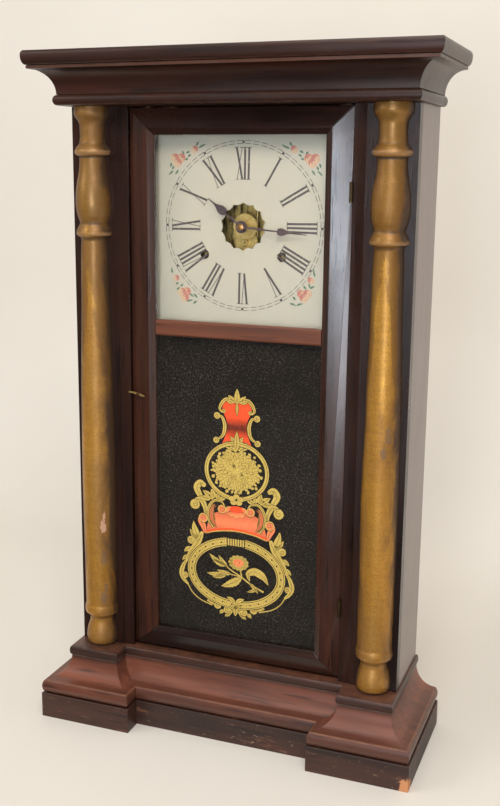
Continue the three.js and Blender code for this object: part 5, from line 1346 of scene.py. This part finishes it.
def add_shield(slabs):
    """Red panel with C-scroll sides, a leaf finial, a drop and a lobed leaf at its foot."""
    stations = [
        (284, 14.3), (288, 12.6), (294, 10.6), (301, 9.6), (307, 10.6), (312, 13), (316, 14.6), (321, 13.6),
        (324, 10), (325.3, 5),
    ]
    filled(slabs, stations, RED, lambda z: 1.15 - np.abs(z - 299.5) / 9.0)
    side = [(19.4, 309.8), (15.9, 309.4), (13, 305), (12, 300), (12.8, 294), (15.4, 289.6), (20, 287)]
    brow = [(2.5, 324.4), (6, 326), (9.8, 326.2), (15.2, 321.8), (17.2, 316.4), (14.8, 313.4)]
    scroll_band(slabs, side, 1.7, 2)
    scroll_band(slabs, brow, 1.6, 3)
    curl(slabs, 19.8, 309.8, 3.1, 4, 200)
    curl(slabs, 20.6, 286.2, 2.9, 4, 100)
    curl(slabs, 13.2, 314.6, 1.9, 4)
    middle_leaf(slabs, 321.5, 336.6, 2.7, 5)
    leaves(slabs, ((1.0, 323.5), (8.4, 330.2), 2.5, 4, -0.15), ((3.5, 323.0), (11.2, 326.0), 1.7, 5, -0.1))
    middle_leaf(slabs, 324, 311, 1.3, 5)
    middle_leaf(slabs, 277, 296.2, 2.7, 7)
    leaves(
        slabs, ((0.6, 279), (6.4, 291.2), 2.4, 5), ((0.8, 277.6), (10.2, 286.0), 2.5, 4),
        ((2.0, 277.0), (13.5, 280.6), 1.9, 3, 0.25),
    )


def add_medallion(slabs):
    """Round frame packed with small leaves: golden-angle places, each leaf turned by a seeded amount."""
    middle, across, up, around = np.array([0, 257.5]), 30.4, 26.8, np.linspace(0, 2 * math.pi, 97)
    for wider, half, slot, layer in ((0, 2.5, BLACK, 6), (0, 1.85, GILT, 7), (0.4, 0.28, GILT_DARK, 8)):
        slabs.add(round_points(middle, across + wider, up + wider, around), half, slot, layer, closed=True)
    slabs.add(*disc(middle, 21.5, 18.5, 24), GILT, 1)
    chance = np.random.default_rng(12)
    count = 130
    for k in range(count):
        share = math.sqrt((k + 0.5) / count)
        bearing = GOLDEN_ANGLE * k
        foot = middle + share * np.array([24.2 * math.cos(bearing), 20.8 * math.sin(bearing)])
        heading = bearing + chance.uniform(-1.0, 1.0)
        length = chance.uniform(4.0, 6.6) * (1.0 - 0.4 * (share > 0.86))
        tip = foot + length * np.array([math.cos(heading), math.sin(heading)])
        width = chance.uniform(1.1, 1.7)
        line = bezier(foot, (foot + tip) / 2 + chance.uniform(-0.9, 0.9, 2), tip, count=12)
        rimmed(slabs, line, leaf_width(12, width), 2 + 2 * (k % 5), both=False, rim=0.28)


def add_shoulders(slabs):
    """Scrolled shoulders from the round frame to the oval, and a flower over a pink shell between volutes."""
    stations = [(192, 31), (196, 30.5), (203, 29), (211, 27), (217, 16), (220, 10), (223, 7)]
    filled(slabs, stations, PINK, lambda z: np.abs(z - 206) / 16)
    upper = [(31.5, 240), (36.5, 242.6), (40.4, 237.5), (36.6, 229.6), (31.4, 222.6)]
    scroll_band(slabs, upper, 3.3, 2, fullest=0.35)
    scroll_band(slabs, [(42.5, 224.6), (37, 226.4), (33, 222), (31, 215), (32.5, 209)], 2.7, 4, fullest=0.35)
    scroll_band(slabs, [(33.4, 212), (36.4, 206), (33.6, 200), (31.4, 193.4)], 2.9, 3, slot=PINK)
    curl(slabs, 42.2, 220.8, 4.9, 6, 90)
    curl(slabs, 33.6, 208.3, 4.6, 7, 30, slot=PINK)
    body = through((21.5, 223.0), (25.4, 219.5), (26.2, 212.5), (24.2, 206.0), (19.5, 199.6))
    slabs.add(body, leaf_width(len(body), 4.2, 0.5), GILT_DARK, 2, both=True)
    for k in range(-2, 3):
        line = body + [0.9 * k - 0.3, 0.5 * k]
        slabs.add(line, leaf_width(len(line), 0.34), PINK, 3, (0.2, 0.9), both=True)
    edge = [(11.5, 222), (15, 226.4), (20.4, 227.2), (26.4, 222.6), (29, 214.5), (27.8, 206), (23, 199.4)]
    scroll_band(slabs, edge, 1.3, 5)
    curl(slabs, 14.4, 219.0, 4.3, 8, 120, slot=PINK)
    leaves(
        slabs, ((24, 227.4), (34.2, 235.2), 3.0, 4), ((23, 228.4), (25.4, 238.0), 2.8, 4),
        ((26.6, 226.6), (36.4, 228.8), 2.4, 4), ((20, 228.4), (18.6, 235.2), 2.2, 4),
        ((18, 228.0), (10.0, 232.6), 2.2, 4),
    )
    slabs.add(*disc((27.2, 231.2), 0.7, count=7), BLACK, 7, both=True)
    for k in range(5):
        turn = math.radians(90 + 72 * k)
        petal = disc((4.7 * math.cos(turn), 229.6 + 3.2 * math.sin(turn)), 3.1, 2.5)
        rimmed(slabs, *petal, 9 + k % 2, both=False)
    slabs.add(*disc((0, 229.8), 0.6, 1.7, 7), BLACK, 12)
    for k in (-2, 2, -1, 1, 0):
        turn = math.radians(42 * k)
        centre = (7.2 * math.sin(turn), 219.8 - 4.2 * math.cos(turn))
        slabs.add(*disc(centre, 3.4, 3.2), GILT, 4)
        slabs.add(*disc(centre, 2.7, 2.5), PINK, 5, (0.0, 0.1))
    slabs.add(*disc((0, 220.2), 6.6, 3.4), RED, 6)
    swag(slabs, 31, 194.6, 198.8, 1.0, RED, 4)
    swag(slabs, 31, 193.0, 197.2, 0.6, GILT, 5)
    swag(slabs, 33, 189.0, 193.4, 3.1, BLACK, 5)
    leaves(slabs, ((36.5, 186), (43.6, 203.6), 3.2, 6, -0.2), ((38, 184), (47.5, 195.5), 2.2, 5, -0.15))
    scroll_band(slabs, [(46.4, 187.4), (41, 186.6), (38.4, 181.5)], 2.6, 6)
    curl(slabs, 46.3, 184.2, 3.8, 8, 200)
    lower = [(34.6, 194), (37.4, 186), (42.4, 178.4), (47.6, 170.6), (51.4, 162.0)]
    scroll_band(slabs, lower, 2.9, 7, fullest=0.4)
    leaves(slabs, ((46, 176.6), (53.6, 171.4), 2.2, 6), ((49, 168.0), (55.6, 162.4), 1.9, 6))


def add_oval(slabs):
    """Oval frame with beads and ticks on its gilt band, a clasp above and a crest below."""
    middle, across, up, band = np.array([0, 156]), 45.6, 31.7, 4.2
    around = np.linspace(0, 2 * math.pi, 145)
    slabs.add(*disc(middle, across + 2, up + 2, 40), BLACK, 8)
    edge = band - 1.2
    bands = [(0, band + 0.6, BLACK, 9), (0, band, GILT, 10), (edge, 0.26, BLACK, 11), (-edge, 0.3, BLACK, 11)]
    for wider, half, slot, layer in bands:
        slabs.add(round_points(middle, across + wider, up + wider, around), half, slot, layer, closed=True)
    beads, ticks = 30, 5
    for k in range(beads * ticks):
        angle = 2 * math.pi * (k + 0.5) / (beads * ticks)
        spot = round_points(middle, across, up, angle)
        if k % ticks == 0:
            slabs.add(*disc(spot, 0.85, count=7), BLACK, 11)
        else:
            way = np.array([math.cos(angle), math.sin(angle)])
            slabs.add(spot + np.outer([-1.5, 0, 1.5], way), 0.17, GILT_DARK, 11)
    scroll_band(slabs, [(50.6, 163.5), (54.6, 157), (56.6, 149), (53.8, 142.6), (49.4, 138.4)], 2.3, 5)
    curl(slabs, 52.6, 147.4, 3.2, 6, 80)
    slabs.add(through((51.4, 142), (45.4, 131.4), (35.8, 124.2), (24, 120.4)), 0.5, GILT, 5, both=True)
    slabs.add([(-9.3, 187.3), (0, 187.3), (9.3, 187.3)], 4.6, BLACK, 12)
    for k in range(-3, 4):
        slabs.add([(k * 2.5, z) for z in (183.9, 187.3, 190.7)], 0.85, GILT, 13)
    leaf(slabs, (0.4, 126.6), (9.0, 131.2), 2.1, 12)
    curl(slabs, 18.5, 121.4, 3.8, 6, 30)
    curl(slabs, 8.6, 117.8, 3.6, 7, 200)
    middle_leaf(slabs, 123.5, 112.6, 2.6, 9)
    leaves(
        slabs, ((1.6, 122.5), (6.2, 112.2), 2.0, 6), ((0.8, 124.0), (5.0, 119.0), 1.8, 10),
        ((20, 122.0), (30.0, 124.6), 2.2, 6), ((12, 117.0), (16.2, 113.0), 1.9, 5),
        ((5.0, 114.5), (11.0, 110.8), 1.8, 5),
    )


# Leaves of the spray as (foot, tip, width, teeth)
SPRAY_LEAVES = [
    ((-9.5, 162.8), (-24.5, 168.2), 2.6, 5), ((-12, 164), (-27.5, 173.2), 2.1, 4),
    ((-8, 162.0), (-17.5, 172.8), 2.0, 4), ((-4.5, 155.4), (-19.5, 157.6), 2.4, 5),
    ((-13, 154.4), (-29.8, 153.2), 2.3, 5), ((-9, 154.4), (-24, 149.6), 2.0, 4),
    ((6.5, 153.4), (-14.8, 141.6), 4.2, 7), ((14.0, 148.6), (22.8, 139.0), 1.9, 4),
    ((22.5, 144.4), (11.5, 139.4), 1.7, 4),
]


def add_spray(slabs):
    """A bent stem inside the oval with toothed leaves and one many-petalled blossom."""
    stem = through((28.4, 141.5), (14.8, 147.7), (5.7, 153.7), (-4.3, 158.8), (-11, 163.6))
    slabs.add(stem, np.linspace(0.9, 0.5, len(stem)), GILT, 9)
    slabs.add(through((7.2, 152.8), (-2, 154.6), (-8, 154.8), (-16, 154.4)), 0.5, GILT, 9)
    slabs.add(through((6.2, 153.4), (5.2, 158), (3.4, 162)), 0.6, GILT, 9)
    for foot, tip, width, teeth in SPRAY_LEAVES:
        leaf(slabs, foot, tip, width, 9, both=False, teeth=teeth)
    line = through((14.2, 150.2), (12.6, 156.8), (19, 160.8), (27.5, 157.0), (33.2, 149.2), count=31)
    rimmed(slabs, line, leaf_width(len(line), 3.9, 0.55), 9, both=False, vein=0.24)
    heart = np.array([2.8, 167.4])
    for petals, reach, width, layer in ((13, 10.6, 2.3, 9), (10, 7.4, 1.9, 10)):
        for k in range(petals):
            angle = 2 * math.pi * (k + 0.5 * (layer % 2)) / petals
            way = np.array([math.cos(angle), 0.74 * math.sin(angle)])
            line = heart + np.outer(np.linspace(0.15, 1, 12), way) * reach
            rimmed(slabs, line, leaf_width(12, width, 0.7), layer, both=False, rim=0.25)
    slabs.add(*disc(heart, 5.4, 3.9), PINK, 12, (0.0, 0.2))
    for k in range(14):
        angle, reach = GOLDEN_ANGLE * k, 4.4 * math.sqrt((k + 0.5) / 14)
        spot = heart + reach * np.array([math.cos(angle), 0.7 * math.sin(angle)])
        slabs.add(*disc(spot, 0.42, count=6), GILT if k % 3 else BLACK, 13)


class CLOCK_OT_tablet(bpy.types.Operator):
    """Black ground and gilt ornament behind the lower glass"""

    bl_idname = "clock.tablet"
    bl_label = "Tablet"

    def execute(self, context):
        finish = finishes(context)
        dress("tablet_glass", finish["window_glass"])
        low, high, back = TABLET_LOW / MM, TABLET_HIGH / MM, TABLET_HIGH.y / MM
        behind, thick, step = ORNAMENT_PAINT
        slabs = Slabs(back + behind, thick, step, middle=(ORNAMENT_MIDDLE, 0))
        for add in (add_shield, add_medallion, add_shoulders, add_oval, add_spray):
            add(slabs)
        paints = [finish[name] for name in TABLET_FINISHES]
        slabs.piece("tablet_ornament", "door", "painted_glass", paints)
        behind, thick, step = GROUND_PAINT
        ground = Slabs(back + behind, thick, step)
        heights = (low.z + GROUND_MARGIN, (low.z + high.z) / 2, high.z - GROUND_MARGIN)
        ground.add([(0, z) for z in heights], high.x - GROUND_MARGIN)
        ground.piece("tablet_ground", "door", "painted_glass", [finish["tablet_black"]])
        return {"FINISHED"}


# Glass, hands and metalwork, in millimetres from the stiles' plane

WORKS_DEPTH = 50.0
CORD_REACH, CORD_LAY = 0.9, 6.0
DRUM_CENTRE, DRUM_LINE = (37.2, 457.9), 12.7
PULLEY_CENTRE, PULLEY_LINE = (107.8, 606.0), 16.0
# Heights of the hanging cord's ends
DROP_TOP, DROP_FOOT = 605.7, 205.3
# Weight: the round edges of its foot and shoulder as (middle, across, up), its crown and its wire eye
WEIGHT_FOOT, WEIGHT_SHOULDER = ((20, 74), 2, 2), ((17, 179), 5, 6)
WEIGHT_CROWN = [(13, 186.0), (8, 186.7), (4, 187.0)]
WEIGHT_EYE = [(-4, 184), (-4, 193), (-2.5, 201.6), (0, 203.8), (2.5, 201.6), (4, 193), (4, 184)]
EYE_WIRE, GONG_WIRE = 1.2, 1.4
# Gong: its middle, its depth, its inner and outer radius, its turns and the points along it
GONG_CENTRE, GONG_DEPTH, GONG_INNER, GONG_OUTER = (-20.0, 150.0), 61.5, 9.0, 41.0
GONG_TURNS, GONG_POINTS = 4.5, 420


def turning(profile, x, y, sides):
    """Points and faces of an upright lathe turning: (radius, height) stations swept through a full turn."""
    radius, height = np.array(profile, float).T
    angle = np.linspace(0, 2 * math.pi, sides, endpoint=False)
    first, second = radius[:, None] * np.cos(angle), radius[:, None] * np.sin(angle)
    points = np.stack([first, second, np.broadcast_to(height[:, None], first.shape)], -1).reshape(-1, 3)
    return points + (x, y, 0), capped_faces(len(radius), sides)


def line_ways(line):
    """The way a line runs at each point, and the way across it in its upright plane."""
    way = np.gradient(line, axis=0)
    way /= np.linalg.norm(way, axis=1)[:, None]
    return way, np.cross(way, [0.0, 1.0, 0.0])


def tube(line, radius, sides):
    """Points and faces of a round tube along a line that runs near an upright plane, with its ends closed."""
    way, across = line_ways(line)
    across /= np.linalg.norm(across, axis=1)[:, None]
    over = np.cross(way, across)
    angle = np.linspace(0, 2 * math.pi, sides, endpoint=False)[None, :, None]
    rim = np.cos(angle) * across[:, None, :] + np.sin(angle) * over[:, None, :]
    return (line[:, None, :] + radius * rim).reshape(-1, 3), capped_faces(len(line), sides)


def in_place_of(name, node, slot, material, *parts):
    """One piece of several closed parts, measured from the stiles' plane, that stands for a CAD node."""
    points, faces, total = [], [], 0
    for part_points, part_faces in parts:
        points.append(part_points)
        faces += [[corner + total for corner in face] for face in part_faces]
        total += len(part_points)
    points = (np.concatenate(points) + [0, STILE_PLANE, 0]) * MM
    piece = new_piece(name, points, faces, NODES[node]["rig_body"], slot, [material], sharp=40)
    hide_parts(node)
    return piece


def at_depth(line, depth):
    """A line of (x, z) points as points in space at one depth."""
    return np.stack([line[:, 0], np.full(len(line), depth), line[:, 1]], -1)


def strands(line):
    """Three strands laid round a line: each strand's middle runs on a helix of one turn to each lay."""
    gone = distance_gone(line)
    at = np.linspace(0, gone[-1], int(gone[-1] / CORD_LAY * 9))
    line = resampled(line, gone, at)
    across = line_ways(line)[1]
    for k in range(3):
        angle = (2 * math.pi * (at / CORD_LAY + k / 3))[:, None]
        middle = line + CORD_REACH / 2 * (np.cos(angle) * across + np.sin(angle) * [0.0, 1.0, 0.0])
        yield tube(middle, CORD_REACH / 2, 8)


def cord_route(side):
    """The cord's middle line: off the drum's rim, straight to the pulley and round it to the outside."""
    across, up = np.subtract(PULLEY_CENTRE, DRUM_CENTRE)
    lean = math.atan2(across, up) - math.asin((PULLEY_LINE - DRUM_LINE) / math.hypot(across, up))
    start = round_points(DRUM_CENTRE, -DRUM_LINE, DRUM_LINE, np.array([lean]))
    rest = round_points(PULLEY_CENTRE, -PULLEY_LINE, PULLEY_LINE, np.linspace(lean, math.pi, 40))
    return at_depth(np.concatenate([start, rest]) * [side, 1], WORKS_DEPTH)


def add_train(finish, train):
    """One train's cord and weight; the hanging part of its cord gets a mesh of its own."""
    side = math.copysign(1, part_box(f"{train}_weight")[0].x)
    x, cord = side * (PULLEY_CENTRE[0] + PULLEY_LINE), finish["winding_cord"]
    in_place_of(f"{train}_cord_laid_run", f"{train}_cord_run", "cord", cord, *strands(cord_route(side)))
    hanging = np.linspace((x, WORKS_DEPTH, DROP_TOP), (x, WORKS_DEPTH, DROP_FOOT), 30)
    drop = in_place_of(f"{train}_cord_laid_drop", f"{train}_cord_drop", "cord", cord, *strands(hanging))
    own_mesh(drop)
    angle = np.linspace(0, math.pi / 2, 9)
    foot = round_points(*WEIGHT_FOOT, angle - math.pi / 2)
    shoulder = round_points(*WEIGHT_SHOULDER, angle)
    body = turning(np.concatenate([foot, shoulder, WEIGHT_CROWN]), x, WORKS_DEPTH, 64)
    eye = tube(at_depth(through(*WEIGHT_EYE, count=48) + [x, 0], WORKS_DEPTH), EYE_WIRE, 12)
    in_place_of(f"{train}_weight_cast", f"{train}_weight", "cast_iron", finish["grey_iron"], body, eye)


def add_gong(finish):
    """The gong wire: a flat spiral whose squared radius grows evenly."""
    run = np.linspace(0, 1, GONG_POINTS)
    radius = np.sqrt((GONG_OUTER**2 - GONG_INNER**2) * run + GONG_INNER**2)
    angle = 2 * math.pi * GONG_TURNS * (radius - GONG_INNER) / (GONG_OUTER - GONG_INNER)
    line = at_depth(round_points(GONG_CENTRE, radius, radius, angle), GONG_DEPTH)
    in_place_of("gong_spiral", "gong_coil", "blued_steel", finish["gong_steel"], tube(line, GONG_WIRE, 14))


# Finishes of CAD nodes by their slot, and of single nodes that differ from the rest of their slot
SLOT_FINISHES = {
    "brass": "aged_brass", "steel": "plain_steel", "blued_steel": "gong_steel", "cast_iron": "grey_iron",
    "cord": "winding_cord",
}
NODE_FINISHES = {
    "movement_front_plate": "plate_brass", "centre_arbor": "arbor_brass", "strike_pulley": "bare_pine",
    "time_pulley": "bare_pine", "dial_glass": "window_glass",
}


class CLOCK_OT_metalwork(bpy.types.Operator):
    """Materials of the movement, hands, hinges, glass, gong and weights"""

    bl_idname = "clock.metalwork"
    bl_label = "Metalwork and glass"

    def execute(self, context):
        finish = finishes(context)
        for entry in FRAME["record"]["subparts"]:
            node = entry["node"]
            name = NODE_FINISHES.get(node, SLOT_FINISHES.get(entry["material_slot"]))
            if node.startswith("hinge"):
                name = "dark_brass"
            elif node.endswith("hand"):
                name = "dark_hands"
            if name:
                dress(node, finish[name])
        add_train(finish, "time")
        add_train(finish, "strike")
        add_gong(finish)
        return {"FINISHED"}


class CLOCK_PT_panel(bpy.types.Panel):
    """Buttons and settings for the shelf clock"""

    bl_label = "Shelf clock"
    bl_space_type = "VIEW_3D"
    bl_region_type = "UI"
    bl_category = "Shelf Clock"

    def draw(self, context):
        for operator in OPERATORS:
            self.layout.operator(operator.bl_idname)
        for group in (context.scene.clock_sizes, context.scene.clock_colours):
            for name in group.bl_rna.properties.keys():
                if name not in ("rna_type", "name"):
                    self.layout.prop(group, name)


OPERATORS = (
    CLOCK_OT_stage, CLOCK_OT_mouldings, CLOCK_OT_columns, CLOCK_OT_boards, CLOCK_OT_dial, CLOCK_OT_tablet,
    CLOCK_OT_metalwork,
)
CLASSES = (ClockColours, ClockSizes, *OPERATORS, CLOCK_PT_panel)


def register():
    for cls in CLASSES:
        bpy.utils.register_class(cls)
    bpy.types.Scene.clock_colours = PointerProperty(type=ClockColours)
    bpy.types.Scene.clock_sizes = PointerProperty(type=ClockSizes)


def unregister():
    del bpy.types.Scene.clock_sizes
    del bpy.types.Scene.clock_colours
    for cls in reversed(CLASSES):
        bpy.utils.unregister_class(cls)


def main():
    """Builds every piece in order."""
    register()
    bpy.ops.clock.stage()
    bpy.ops.clock.mouldings()
    bpy.ops.clock.columns()
    bpy.ops.clock.boards()
    bpy.ops.clock.dial()
    bpy.ops.clock.tablet()
    bpy.ops.clock.metalwork()
    bpy.context.view_layer.update()


if __name__ == "__main__":
    main()
